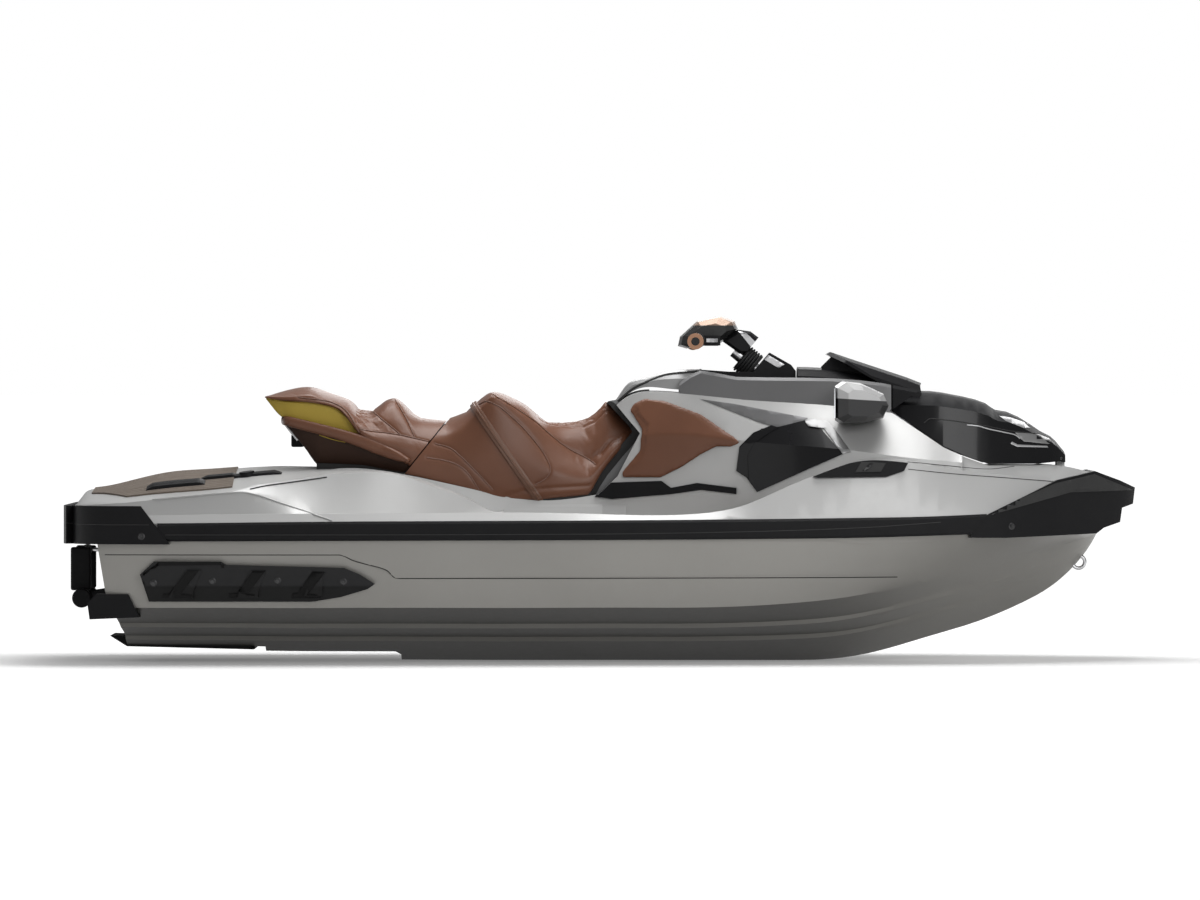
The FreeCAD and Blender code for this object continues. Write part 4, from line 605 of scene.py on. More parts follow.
seam_hold, foot_hold, most_swell = 0.007, 0.012, 0.007
seam_width, seam_depth = 0.010, 0.0035
cord_lift, cord_radius, corded_seams = 0.0008, 0.0017, 4
# The cords are real piping, coloured a paler brown than the cushions as painted highlight, for the light that
# their round tops catch.
cord_vinyl_painted_highlight = plain(
    "cord_vinyl_painted_highlight", (30,), (0.175, 0.090, 0.062), (0.240, 0.130, 0.095), (120,), 0.1, 0.34,
    Specular_IOR_Level=0.45,
)


def sewn_seat(name, ends, held_ends, lines, dish, seams, ahead, inside, quilt_depth, edging=None):
    """Foam in a sewn cover: filled, cut at the joint, quilted, its seams pressed in and corded."""
    seat = stuffed_form(name, *ends, cushion_section(*lines, dish))
    sewn = points_of(on_sides(skin_of(seat), seams))
    first, last = (seen(px, 0)[0] for px in held_ends)
    puff(
        seat,
        lambda p: sewn.find(p)[2] < seam_hold or p.x < first or p.x > last
        or p.z < seen(0, fair_line(lines[2], column(p.x)))[1] + foot_hold,
        most_swell,
    )
    cut_at_joint(seat, ahead)
    take_up(seat, "SUBSURF", levels=1, subdivision_type="SIMPLE")
    quilt(seat, inside, quilt_depth)
    skin = skin_of(seat)
    pressed = on_sides(skin, seams) + (edging(skin) if edging else [])
    press_lines(seat, pressed, seam_width, seam_depth)
    skin = skin_of(seat)
    cord = piping(f"{name}_piping", on_sides(skin, seams[:corded_seams], cord_lift), cord_radius)
    rounded(seat, 50)
    return seat, cord, skin


# Passenger cushion: foam under vinyl, with a hump ahead and a raised, padded tail behind. Its
# quilting lies between the two, above the side seam.
rear_seams = (
    ((300, 397), (327, 400.5), (340, 405), (348, 411), (361, 432)),
    ((361, 428.6), (375, 431), (389, 432.5), (402, 434.6), (415, 437.5), (430, 441), (448, 446)),
    ((374, 411.5), (383, 419), (392, 426), (402, 434.4)),
    ((395.5, 399.5), (401, 408), (409, 422), (415.7, 437)),
)


quilt_back, quilt_fade = 356, 2


def passenger_quilt(place, normal):
    px, py = column(place.x), keel_row - (place.z - keel_height) / photo_pixel
    hump_rows = [(y, x) for x, y in rear_seams[2]]
    before_hump = fair_line(hump_rows, np.clip(py, hump_rows[0][0], hump_rows[-1][0])) - quilt_fade
    below_seam = seen(0, fair_line(rear_seams[1], px))[1] - place.z
    on_top = within(px, quilt_back, before_hump, quilt_fade) * (normal.z > -0.1)
    return on_top * within(below_seam, -1, -stitch_width, stitch_width)


rear_cushion, rear_cord, _ = sewn_seat(
    "passenger_cushion", (266.5, 452), (272, 446), (rear_top, rear_edge, rear_foot), lambda px: 0.25,
    rear_seams, False, passenger_quilt, 0.0032,
)

# Saddle: the driver's seat, foam under the same vinyl, with a raised back, a quilted middle and a
# narrow nose before the glove box.
saddle_top = (
    (400, 421.5), (446, 421), (452, 419.5), (465, 413.6), (475, 405), (484, 397), (489, 393.2),
    (493.5, 391.7), (501.6, 393.7), (512, 398), (525.7, 405), (535, 413), (542, 419.4), (548, 421.8),
    (560, 422.3), (569, 421.8), (582, 419.6), (594, 413.5), (600.7, 407), (606, 401.8), (609, 402.6),
    (614, 407.2), (633, 426.2), (635, 429),
)
saddle_edge = (
    (400, 437), (446, 436), (465, 427), (480, 411), (489, 400), (493.5, 396.5), (501.6, 399.2), (515, 409),
    (536, 423.5), (552, 436), (568, 448), (587, 457.5), (602, 452), (614, 440), (633, 431), (635, 431),
)
saddle_foot = (
    (400, 472), (440, 481.5), (460, 487), (480, 493), (500, 498.5), (520, 500), (547, 498), (575, 495.5),
    (588, 494), (592, 489), (602, 471.8), (620, 449.8), (634, 434.4), (635, 433),
)


dish_columns = (400, 480, 500, 540, 575, 600, 615)
dish_shares = (0.25, 0.25, 0.15, 0.24, 0.30, 0.34, 0.30)


def saddle_dish(px):
    """How much of the fall to the edge is made two thirds of the way out: more in a flatter seat."""
    return float(np.interp(px, dish_columns, dish_shares))


saddle_seams = (
    ((493.6, 394.5), (515, 407.2), (536.4, 421.9), (552, 435.4), (568.6, 448), (587.3, 458), (596, 464)),
    ((478.5, 405), (486.9, 401.2), (497.6, 405), (512.3, 416.5), (528.4, 432.6), (547, 458), (551, 468.7),
     (547, 476.8), (536.4, 483.5)),
    ((436, 443), (450.7, 447.3), (464, 458), (477.5, 471.4), (493.6, 488.8)),
    ((428, 457), (440, 458.7), (453.4, 462), (465.4, 468.7), (480, 488.8)),
    ((507, 495.5), (527, 489.5), (545, 487.8), (590, 485)),
)
quilt_start, quilt_end, quilt_share, quilt_ends_fade = 540, 611, 0.52, 4


def driver_quilt(place, normal):
    px = column(place.x)
    half = fair_line(edge_breadth, px) * quilt_share
    along = within(px, quilt_start, quilt_end, quilt_ends_fade)
    return along * within(abs(place.y), -1, half, stitch_width) * (normal.z > 0.3)


def quilt_edge(skin):
    """The two long edges of the driver's quilting."""
    columns = np.linspace(quilt_start, quilt_end, 60)
    reaches = [(seen(px, 0)[0], float(fair_line(edge_breadth, px)) * quilt_share) for px in columns]
    return [[from_above(skin, x, reach * side) for x, reach in reaches] for side in (-1, 1)]


saddle, saddle_cord, saddle_skin = sewn_seat(
    "saddle", (400, 635), (408, 630), (saddle_top, saddle_edge, saddle_foot), saddle_dish, saddle_seams,
    True, driver_quilt, 0.0035, quilt_edge,
)

# Grab strap: a doubled vinyl band with a raised middle, for the passenger to hold. It is pulled
# tight round the saddle and fixed to the base below it.
strap_head, strap_foot = spot(474.4, 405.4), spot(539, 499)
strap_breadth, strap_thickness, strap_reach, strap_centre = 0.026, 0.0065, 138, 0.45
upward = (strap_head - strap_foot).normalized()
lean = upward.cross(Vector((0, 1, 0))).normalized()
middle = strap_foot + (strap_head - strap_foot) * strap_centre
strap_profile = (
    (-0.5, -0.3), (-0.5, 0.75), (-0.42, 1.0), (-0.15, 1.0), (-0.08, 1.35), (0.08, 1.35), (0.15, 1.0),
    (0.42, 1.0), (0.5, 0.75), (0.5, -0.3),
)
rings = []
for turn in np.linspace(-strap_reach, strap_reach, 150):
    ray = upward * math.cos(math.radians(turn)) + Vector((0, 1, 0)) * math.sin(math.radians(turn))
    ring = [
        (saddle_skin.ray_cast(middle + lean * strap_breadth * share, ray)[0], ray * strap_thickness * lift)
        for share, lift in strap_profile
    ]
    if all(place for place, lift in ring):
        rings.append([place + lift for place, lift in ring])
grab_strap = skinned("grab_strap", rings, closed=False)
rounded(grab_strap, 40)
strap_vinyl = plain(
    "strap_vinyl", (14, 3), (0.135, 0.062, 0.036), (0.175, 0.085, 0.052), (150,), 0.1, 0.33,
    Specular_IOR_Level=0.45,
)
strap_vinyl.relief(strap_vinyl.pebbles(600), 0.0002)
for piece, finish in ((saddle, vinyl), (saddle_cord, cord_vinyl_painted_highlight), (grab_strap, strap_vinyl)):
    fitted(piece, finish, "craft", "front_seat")
for piece, finish in ((rear_cushion, vinyl), (rear_cord, cord_vinyl_painted_highlight)):
    fitted(piece, finish, "craft", "rear_seat")

# Knee pads: thin foam under the same vinyl, pressed on to the sides of the deck. Each starts from its
# solid, made soft and then filled as the seats are.
flanks = ((1, "left"), (-1, "right"))
for side, name in flanks:
    blank = nodes[f"knee_pad_{name}"]
    knee_pad = linked(f"knee_cushion_{name}", blank.data.copy())
    take_up(knee_pad, "REMESH", mode="VOXEL", voxel_size=0.005)
    take_up(knee_pad, "SMOOTH", factor=0.5, iterations=3)
    inner = min(abs(v.co.y) for v in knee_pad.data.vertices) + 0.004
    puff(knee_pad, lambda p: abs(p.y) < inner, 0.003)
    take_up(knee_pad, "SUBSURF", levels=1)
    knee_pad.data.shade_smooth()
    fitted(knee_pad, vinyl, "craft", blank.name)

# Tail base: the moulded brown tub below the passenger cushion, undercut so that it stands in shadow and
# painted a much deeper brown as painted shade, with the golden block that fills the tail above it. Both are
# screwed to the deck.
band_middle = (
    (284, 419), (290, 420.8), (308.6, 425.5), (335, 432.2), (362, 440.6), (389, 451.5), (409, 459.5),
    (430, 466),
)
tub_foot = (
    (284, 419.6), (292, 430), (305, 446), (322, 466), (362, 467.5), (381, 471), (404, 475.5), (452, 484),
)


def tub_section(px):
    top, foot = seen(px, fair_line(band_middle, px) - 3)[1], seen(px, fair_line(tub_foot, px))[1]
    side, deep = fair_line(hip_breadth, px) * 0.975 - 0.006, top - foot
    tuck = min(deep / 0.12, 1)
    return [
        (0, top), (side * 0.9, top), (side, top - deep * 0.1), (side - 0.016 * tuck, top - deep * 0.45),
        (side - 0.052 * tuck, foot + deep * 0.08), (side - 0.062 * tuck, foot), (0, foot),
    ]


tail_tub = stuffed_form("tail_tub", 284, 452, tub_section, half_count=40)
cut_at_joint(tail_tub, ahead=False)
rounded(tail_tub, 35)
# Painted shade: the tub's brown is made far darker than the vinyl's, for the shade under the cushion.
tub_painted_shade = plain(
    "brown_plastic_painted_shade", (8, 3), (0.038, 0.020, 0.014), (0.056, 0.030, 0.021), (90,), 0.1, 0.38,
    Specular_IOR_Level=0.2,
)
tub_painted_shade.relief(tub_painted_shade.pebbles(700), 0.0002)
block_foot = ((267, 398.4), (284, 417), (303, 423), (333, 430), (361, 439))
block_share = ((266, 287, 290), (0.90, 0.985, 1))


def block_section(px):
    top = seen(px, fair_line(rear_foot, px) - 0.8)[1]
    foot = seen(px, min(fair_line(block_foot, px), 440))[1]
    side, deep = (fair_line(edge_breadth, px) - 0.007) * np.interp(px, *block_share), top - foot
    tuck = 0.014 * min(deep / 0.09, 1)
    return [(0, top), (side * 0.92, top), (side, top - deep * 0.05), (side - tuck, foot), (0, foot)]


tail_block = stuffed_form("tail_block", 267.5, 359.5, block_section, half_count=30)
rounded(tail_block, 20)
golden_foam = plain(
    "golden_panel", (5, 3), (0.52, 0.37, 0.05), (0.66, 0.49, 0.09), (120,), 0.12, 0.45,
    Specular_IOR_Level=0.35,
)
golden_foam.relief(golden_foam.pebbles(900), 0.0002)
fitted(tail_tub, tub_painted_shade, "craft", "rear_seat")
fitted(tail_block, golden_foam, "craft", "rear_seat")

# Grab handle: one oval rail, moulded over with soft brown vinyl, round the back of the tail and
# down both of its sides, where it runs out into the cushion.
side_columns = np.linspace(411, 291, 60)
rail_inset, rail_outset = 0.010, 0.026
starboard = []
for px in side_columns:
    reach = float(fair_line(hip_breadth, px)) - rail_inset + rail_outset * within(px, 384, 470, 30)
    starboard.append(spot(px, fair_line(band_middle, px), -reach))
corner = starboard[-1]
rear_bulge, rear_lift, squareness, first_turn = 0.016, 0.003, 0.35, 0.03
rear_round = []
for a in np.linspace(first_turn, math.pi - first_turn, 41):
    across = math.copysign(abs(math.cos(a)) ** squareness, math.cos(a))
    bulge = Vector((-rear_bulge * math.sin(a), corner.y * (across - 1), rear_lift * math.sin(a)))
    rear_round.append(corner + bulge)
rail_path = starboard + rear_round + [Vector((p.x, -p.y, p.z)) for p in reversed(starboard)]
rail_columns = [*side_columns, *[288] * len(rear_round), *side_columns[::-1]]
rail_breadth, rail_points = 0.013, 16
rail_heights = ((286, 0.0150), (291, 0.0165), (335, 0.0180), (375, 0.0205), (397, 0.016), (411, 0.006))
rings = []
for i, (place, px) in enumerate(zip(rail_path, rail_columns)):
    run = (rail_path[min(i + 1, len(rail_path) - 1)] - rail_path[max(i - 1, 0)]).normalized()
    outward = run.cross(Vector((0, 0, 1))).normalized()
    upright = outward.cross(run).normalized() * float(fair_line(rail_heights, px))
    turns = [2 * math.pi * (k + 0.5) / rail_points for k in range(rail_points)]
    rings.append([
        place + outward * rail_breadth * math.cos(a) * abs(math.cos(a)) ** -0.25
        + upright * math.sin(a) * max(abs(math.sin(a)), 1e-3) ** -0.25
        for a in turns
    ])
grab_rail = skinned("grab_rail", rings)
grab_rail.data.shade_smooth()
fitted(grab_rail, vinyl, "craft", "rear_seat")

# Small tail fittings: the bright trim on the rear edges of the tub, the thin golden line under the
# rail, and the moulded latch that holds the cushion down.
edge_lines = [
    [spot(px, fair_line(tub_foot, px), s * (abs(tub_section(px)[2][0]) - 0.004)) - Vector((0.002, 0, 0))
     for px in np.linspace(285, 300, 24)]
    for s in (-1, 1)
]
bright_trim = plain(
    "silver_trim", (20,), (0.50, 0.50, 0.51), (0.60, 0.60, 0.61), (90,), 0.1, 0.26, Metallic=0.9
)
fitted(piping("tail_edge_trim", edge_lines, 0.0035), bright_trim, "craft", "rear_seat")


def trim_line(name, skin, lines, proud, radius, finish, body="craft", stands_for=None):
    """A thin cord along lines of the side view, laid on a skin on both sides."""
    fitted(piping(name, on_sides(skin, lines, proud), radius), finish, body, stands_for)


golden_path = ((321, 434.5), (334, 438.8), (347, 441.8))
trim_line("golden_line", skin_of(tail_tub), [golden_path], 0.0008, 0.0015, golden_foam, "craft", "rear_seat")


def bevelled(name, edge, segments, scale=(1, 1, 1)):
    """Names and sizes the primitive just added, takes that up into its mesh and rounds its edges."""
    piece = bpy.context.object
    piece.name = name
    piece.scale = scale
    bpy.ops.object.transform_apply(location=True, rotation=True, scale=True)
    bpy.ops.object.mode_set(mode="EDIT")
    bpy.ops.mesh.select_all(action="SELECT")
    bpy.ops.mesh.bevel(offset=edge, segments=segments)
    bpy.ops.object.mode_set(mode="OBJECT")
    bpy.ops.object.select_all(action="DESELECT")
    return piece


bpy.ops.object.select_all(action="DESELECT")
latch_low, latch_high = spot(291.5, 447, -0.035), spot(304, 434, 0.035)
bpy.ops.mesh.primitive_cube_add(size=1, location=(latch_low + latch_high) / 2)
latch = bevelled("seat_latch", 0.006, 3, latch_high - latch_low)
fitted(latch, black_polymer, "craft", "rear_seat")

# Seat gaps: black strips as painted shade where shade falls between the seats and the deck, under their foot
# and round the nose, and a dark sheet as painted shade in the slanting gap between the two seats, a little
# inside the cushions.
shade_strip_foot = (
    (316, 466), (362, 468), (381, 471.5), (404, 475.5), (450, 485.5), (480, 494), (500, 499.5), (520, 501.5),
    (547, 499.5), (575, 497), (592, 495.5),
)
shade_strip_rise, shade_strip_drop = 0.012, 0.0085


def shade_strip_section(px):
    line = seen(px, fair_line(shade_strip_foot, px))[1]
    side = fair_line(hip_breadth, px) - 0.012 - 0.034 * within(px, 200, 404, 60)
    high, low = line + shade_strip_rise, line - shade_strip_drop
    return [(0, high), (side, high), (side, low), (0, low)]


# Painted shade: these black strips and the sheet in the joint stand for the shade in the gaps round the
# seats.
rubber_and_gap_shade = plain("rubber_and_gap_shade", (20,), 0.006, 0.014, (60,), 0.1, 0.6)
foot_shade_strip = stuffed_form("foot_shade_strip", 318, 591, shade_strip_section, half_count=24)
take_up(foot_shade_strip, "EDGE_SPLIT", split_angle=math.radians(40))
fitted(foot_shade_strip, rubber_and_gap_shade)
nose_line = (
    (606.5, 403), (610, 405), (614, 410), (630, 427), (632, 432), (615.5, 451), (599.5, 470), (592, 481),
    (587, 492),
)
outer_line = (
    (608.5, 401), (613, 402), (620, 407.5), (640, 426), (642, 434), (623.5, 455), (607.5, 474.5), (600, 486),
    (594.5, 496.5),
)
rim_line = (
    (611, 400.5), (617, 399.5), (628, 404.5), (648, 424), (651, 435), (633, 457), (618, 476), (609, 490),
    (603, 499),
)
shoulder_row = 425
for name, inner_line, outer_path, half_top, half_side, finish in (
    ("nose_shade_strip", nose_line, outer_line, 0.098, 0.112, rubber_and_gap_shade),
    ("nose_rim", outer_line, rim_line, 0.094, 0.108, dark_satin),
):
    rings = []
    for inner, outer in zip(inner_line, outer_path):
        wide = half_side if inner[1] > shoulder_row else half_top
        rings.append([spot(*inner, -wide), spot(*inner, wide), spot(*outer, wide), spot(*outer, -wide)])
    fitted(skinned(name, rings), finish)
sheet_inset, sheet_half_width = 0.018, 1.6
sheet_corners = [(sheet_half_width * shift, side) for shift, side in ((-1, -1), (-1, 1), (1, 1), (1, -1))]
rings = []
for px, py, breadth, share in ((445.4, 424.0, edge_breadth, 0.66), (404.5, 474.2, hip_breadth, 0.96)):
    reach = float(fair_line(breadth, px)) - sheet_inset
    rings.append([spot(px + shift, py, side * reach * share) for shift, side in sheet_corners])
joint_shade_sheet = skinned("seat_joint_shade_sheet", rings)
take_up(joint_shade_sheet, "BEVEL", width=0.002, segments=2)
fitted(joint_shade_sheet, rubber_and_gap_shade)

# Jet pump: housing, steering nozzle, reverse gate and intake grate, cast in aluminium and
# shot-blasted. The housing is bolted into the tunnel of the hull.
casting = plain(
    "cast_aluminium", (25, 4), (0.36, 0.37, 0.38), (0.50, 0.51, 0.52), (70,), 0.2, 0.36, Metallic=1.0
)
casting.relief(casting.cloud(600, 3), 0.0004)
coat(casting, "pump_housing", "nozzle", "reverse_gate", "intake_grate")

# Shaft, impeller, tie-down eyes, steering stem and levers: stainless steel, turned or bent from bar
# and brushed.
brushing = (200, 2, (1, 1, 8))
stainless = plain(
    "stainless", (30, 4), (0.50, 0.50, 0.51), (0.62, 0.62, 0.63), brushing, 0.15, 0.24, Metallic=1.0
)
coat(stainless, "handlebar_stem", "lever_", "bow_eye", "impeller", "drive_shaft", "stern_eye_")

# Engine: one block of cast metal under a dark heat-proof coat, out of sight in its bay between the
# pedestal's walls.
engine_coat = plain(
    "engine_coat", (20, 4), (0.05, 0.05, 0.052), (0.10, 0.10, 0.105), (40,), 0.2, 0.5, Metallic=0.4
)
engine_coat.dress(nodes["engine_block"])

# Handlebar: rubber grips between copper-coloured rings on a tube, and over its middle a pad with a
# tan anodised shell on a black housing.
copper = plain(
    "copper_anodised", (12,), (0.34, 0.18, 0.11), (0.44, 0.25, 0.16), (80,), 0.1, 0.34, Metallic=0.8
)
coat(copper, "grip_ring_")
rubber = plain("grip_rubber", (40,), 0.010, 0.022, (90,), 0.1, 0.7)
coat(rubber, "grip_")
pad_finish = Finish("pad_finish", Coat_Weight=0.2, Coat_Roughness=0.15)
shell = (pad_finish.along("z") - seen(0, 325.5)[1]).rise(-0.001, 0.001)
pad_finish.feed(
    Base_Color=pad_finish.mix(shell * (0.8 + pad_finish.cloud(20) * 0.2), 0.012, (0.36, 0.25, 0.19)),
    Roughness=pad_finish.cloud(60) * 0.1 + 0.30,
    Metallic=shell * 0.6,
)
coat(pad_finish, "handlebar_pad")

# Mirrors: silvered glass glued into moulded housings, which are black below, painted silver over
# their tops and screwed to the fairings.
silvered = plain(
    "silvered_glass", (3,), (0.80, 0.82, 0.84), (0.84, 0.86, 0.88), (20,), 0.02, 0.02, Metallic=1.0
)
silvered.dress(*solids("mirror_glass_"))
mirror_paint = Finish("mirror_paint", Coat_Weight=0.4, Coat_Roughness=0.08)
cap_line = mirror_paint.along("z") + mirror_paint.along("x") * 0.06 - 0.646
cap = cap_line.rise(-0.001, 0.001)
mirror_paint.feed(
    Base_Color=mirror_paint.mix(cap * (0.9 + mirror_paint.cloud(20) * 0.1), (0.010, 0.010, 0.011), 0.60),
    Roughness=mirror_paint.cloud(50) * 0.08 + 0.28,
    Metallic=cap * 0.5,
)
coat(mirror_paint, "mirror_housing_")

# Mats: closed-cell foam sheet, cut to outline with rounded channels planed across it, glued to the
# deck and to the floors of the footwells. Each starts from its solid.
mat_foam = plain("traction_foam", (300, 4), (0.13, 0.105, 0.085), (0.20, 0.165, 0.135), (200,), 0.1, 0.85)
mat_foam.relief(mat_foam.cloud(500, 3), 0.0006)
mat_foam.dress(*solids("rear_mat", "footwell_mat_"))
groove_pitch, groove_breadth, groove_depth = 0.026, 0.006, 0.002
level_enough = 0.6


def grooved_mat(name, blank, lean):
    """A sheet of foam with channels across it, which turn by lean from the length of the craft."""
    mat = linked(name, blank.data.copy())
    sheet = bmesh.new()
    sheet.from_mesh(mat.data)
    bmesh.ops.remove_doubles(sheet, verts=sheet.verts, dist=1e-5)
    across = Vector((math.sin(lean), math.cos(lean), 0))
    spots = [v.co.dot(across) / groove_pitch for v in sheet.verts]
    for row in range(math.ceil(min(spots)), math.floor(max(spots)) + 1):
        for shift in (-0.5, -0.22, 0.22, 0.5):
            slice_through(sheet, across * (row * groove_pitch + shift * groove_breadth), across, dist=1e-6)
    sheet.normal_update()
    for vertex in {v for f in sheet.faces if f.normal.z > level_enough for v in f.verts}:
        off = vertex.co.dot(across) / groove_pitch
        off = abs(off - round(off)) * groove_pitch
        if off < groove_breadth * 0.3 and all(f.normal.z > level_enough for f in vertex.link_faces):
            vertex.co.z -= groove_depth
    sheet.to_mesh(mat.data)
    sheet.free()
    fitted(mat, mat_foam, "craft", blank.name)


grooved_mat("rear_mat_foam", nodes["rear_mat"], 0.0)
for side, name in flanks:
    grooved_mat(f"footwell_mat_foam_{name}", nodes[f"footwell_mat_{name}"], 1.2 * side)

# Hull and deck lines: a dark line of painted shade under the edge of the stepped side band, a dark line
# of painted shade in the crease of the stern quarters and the ridge beside it, and the seams of the foredeck.
hull_skin, deck_skin, hood_skin = (skin_of(nodes[name]) for name in ("hull", "deck", "hood"))
seam_and_shade_black = plain("seam_and_shade_black", (30,), 0.010, 0.020, (80,), 0.1, 0.6)
band_edge = (
    (114, 551.3), (200, 551.3), (344, 551.3), (347, 551.8), (358.4, 557), (390.6, 566.3), (399.8, 574),
    (405, 574.4), (500, 574.4), (650, 574.2), (800, 574), (893, 574),
)
quarter_crease_shade = ((256, 487.2), (270, 484.2), (300, 480), (331, 475.6))
quarter_ridge = ((160, 497.5), (187.6, 494.8), (248.1, 490.2), (262, 492.4), (283.2, 499.4), (337.4, 517.6))
foredeck_seams = (
    ((903, 460.5), (944, 464.5), (985, 468), (1011, 465.5)),
    ((903, 467.5), (945.7, 472), (1000, 476.4), (1049, 480.4)),
)
# Painted shade: the band line and the quarter line are black for the shade under the step and in the crease.
trim_line("hull_band_shade_line", hull_skin, [band_edge], 0.0002, 0.0015, seam_and_shade_black)
trim_line("deck_crease_shade", deck_skin, [quarter_crease_shade], 0.0004, 0.0022, seam_and_shade_black)
trim_line("deck_ridge", deck_skin, [quarter_ridge], 0.0002, 0.0030, deck_gelcoat)
trim_line("bow_seam", deck_skin, foredeck_seams, 0.0001, 0.0012, seam_and_shade_black)


# Hood trims: a bright line let in along each flank, a silver block at its front end, a pale plate on
# the crown as painted highlight, and the seam between the crown and the side panel.
def side_patches(name, corners, skin, proud, finish, body="craft", sink=0.002, pitch=0.014):
    """Thin plates cut to an outline of the side view and laid on a skin, one on each side."""
    for side, flank in flanks:
        sheet = bmesh.new()
        sheet.faces.new([sheet.verts.new(spot(*corner)) for corner in corners])
        low, high = (Vector([pick(v.co[k] for v in sheet.verts) for k in range(3)]) for pick in (min, max))
        for k in (0, 2):
            normal = Vector([1 if k == m else 0 for m in range(3)])
            for i in range(1, int((high[k] - low[k]) / pitch) + 1):
                slice_through(sheet, low + normal * pitch * i, normal)
        for vertex in sheet.verts:
            place = from_side(skin, vertex.co.x, vertex.co.z, side)[0]
            if place is None:
                place = skin.find_nearest(Vector((vertex.co.x, side * 0.3, vertex.co.z)))[0]
            vertex.co = place - Vector((0, side * sink, 0))
        raised = bmesh.ops.extrude_face_region(sheet, geom=sheet.faces[:])["geom"]
        lifted = [v for v in raised if isinstance(v, bmesh.types.BMVert)]
        bmesh.ops.translate(sheet, verts=lifted, vec=(0, side * (proud + sink), 0))
        bmesh.ops.recalc_face_normals(sheet, faces=sheet.faces)
        plate = linked(f"{name}_{flank}", bpy.data.meshes.new(f"{name}_{flank}"))
        sheet.to_mesh(plate.data)
        sheet.free()
        plate.data.shade_smooth()
        take_up(plate, "BEVEL", width=min(proud * 0.45, 0.0015), segments=2, limit_method="ANGLE")
        take_up(plate, "EDGE_SPLIT", split_angle=math.radians(40))
        fitted(plate, finish, body)


bright_line = ((963.6, 424.4), (974.3, 425.4), (985, 428.4), (1000, 431.6), (1012, 434.4), (1017, 438))
crown_seam = (
    (921, 422.4), (928, 418.2), (944, 419.6), (960, 421.8), (985, 426), (1008, 430.6), (1036, 433.4),
)
trim_line("hood_bright_line", hood_skin, [bright_line], 0.00072, 0.0024, bright_trim, "hood_lid")
trim_line("hood_seam", hood_skin, [crown_seam], 0.00048, 0.0016, seam_and_shade_black, "hood_lid")
block = ((1012, 432), (1036, 433.6), (1048, 438), (1051, 442.4), (1046, 443.6), (1021, 441), (1016.5, 437))
block_edge = ((1009, 441), (1015, 444), (1045, 445.4), (1046, 447), (1014, 446.2), (1008, 443))
# Painted highlight: a pale plate on the crown of the hood, for the light that it catches there.
insert = ((997, 415.5), (1008, 417), (1027, 423.5), (1028.5, 427.2), (1020, 427.2), (1003, 420.5))
side_patches("hood_block", block, hood_skin, 0.003, lid_silver, "hood_lid")
side_patches("hood_block_edge", block_edge, hood_skin, 0.003, bright_trim, "hood_lid")
side_patches("hood_crown_highlight", insert, hood_skin, 0.002, bright_trim, "hood_lid")

# Lid edge: a black rubber bead pushed on to the upper edge of the glove box lid, which keeps the
# spray out.
lid_path = ((618, 401), (634, 388), (650, 380.5), (668, 374.5), (698, 371.5))
trim_line("lid_edge", skin_of(nodes["glove_lid"]), [lid_path], 0.0005, 0.0040, rubber_and_gap_shade, "glove_box_lid")

# Bow bumper bevel: the sloped upper facet of the black moulding that is screwed on over the bow,
# painted a greyer black as painted highlight, for the light falling on its upward face.
# Painted highlight: the facet is greyer than the rest of the black bumper.
facet_painted_highlight = plain("facet_painted_highlight", (12, 3), 0.028, 0.046, (60,), 0.12, 0.42, Specular_IOR_Level=0.3)
facet_painted_highlight.relief(facet_painted_highlight.pebbles(850), 0.0002)
bevel = ((1049.5, 482), (1090, 473), (1131, 489.5), (1065.4, 491), (985.5, 512.5), (983.5, 510))
side_patches("bumper_bevel", bevel, skin_of(nodes["bow_bumper"]), 0.004, facet_painted_highlight)

# Bolts: domed steel screws with a hexagon on top, blackened, each in a dark washer. They hold the
# bumpers and the sponsons to the hull.
bolt_places = (
    ("stern_bumper", (150.5, 533)), ("bow_bumper", (1006, 524)), ("sponson_", (162, 579)),
    ("sponson_", (220, 577)), ("sponson_", (284, 576.5)), ("sponson_", (348.5, 577.5)),
)
bolt_metal = plain(
    "blackened_steel", (60,), (0.045, 0.045, 0.046), (0.075, 0.075, 0.076), (120,), 0.15, 0.25, Metallic=0.8
)
washer, dome, hexagon = (24, 0.0125, 0.0085, 0.003), (24, 0.0085, 0.0060, 0.006), (6, 0.0040, 0.0036, 0.0072)
bolt_sunk = 0.0008
for side, flank in flanks:
    heads = bmesh.new()
    for carrier, pixel in bolt_places:
        place, normal = from_side(skin_of(*solids(carrier)), *seen(*pixel), side)
        turn = normal.to_track_quat("Z", "Y").to_matrix().to_4x4()
        for count, radius, top, height in (washer, dome, hexagon):
            made = bmesh.ops.create_cone(
                heads, cap_ends=True, segments=count, radius1=radius, radius2=top, depth=height
            )
            for vertex in made["verts"]:
                vertex.co = place + (turn @ (vertex.co + Vector((0, 0, height / 2 - bolt_sunk))))
    bolts = linked(f"bolts_{flank}", bpy.data.meshes.new(f"bolts_{flank}"))
    heads.to_mesh(bolts.data)
    heads.free()
    fitted(bolts, bolt_metal)

# Handlebar strips: thin polished trims, clipped into both sides of the handlebar's neck and of the
# steering base below it.
neck_strip = ((738, 331), (746, 333), (764, 350.5), (760, 354), (750, 346))
base_strip = ((768, 355), (784, 364.5), (778, 368), (764, 359.5))
neck_skin, base_skin = skin_of(nodes["handlebar_neck"]), skin_of(nodes["steering_base"])
side_patches("neck_strip", neck_strip, neck_skin, 0.002, bright_trim, "handlebar", pitch=0.01)
side_patches("base_strip", base_strip, base_skin, 0.002, bright_trim, pitch=0.01)

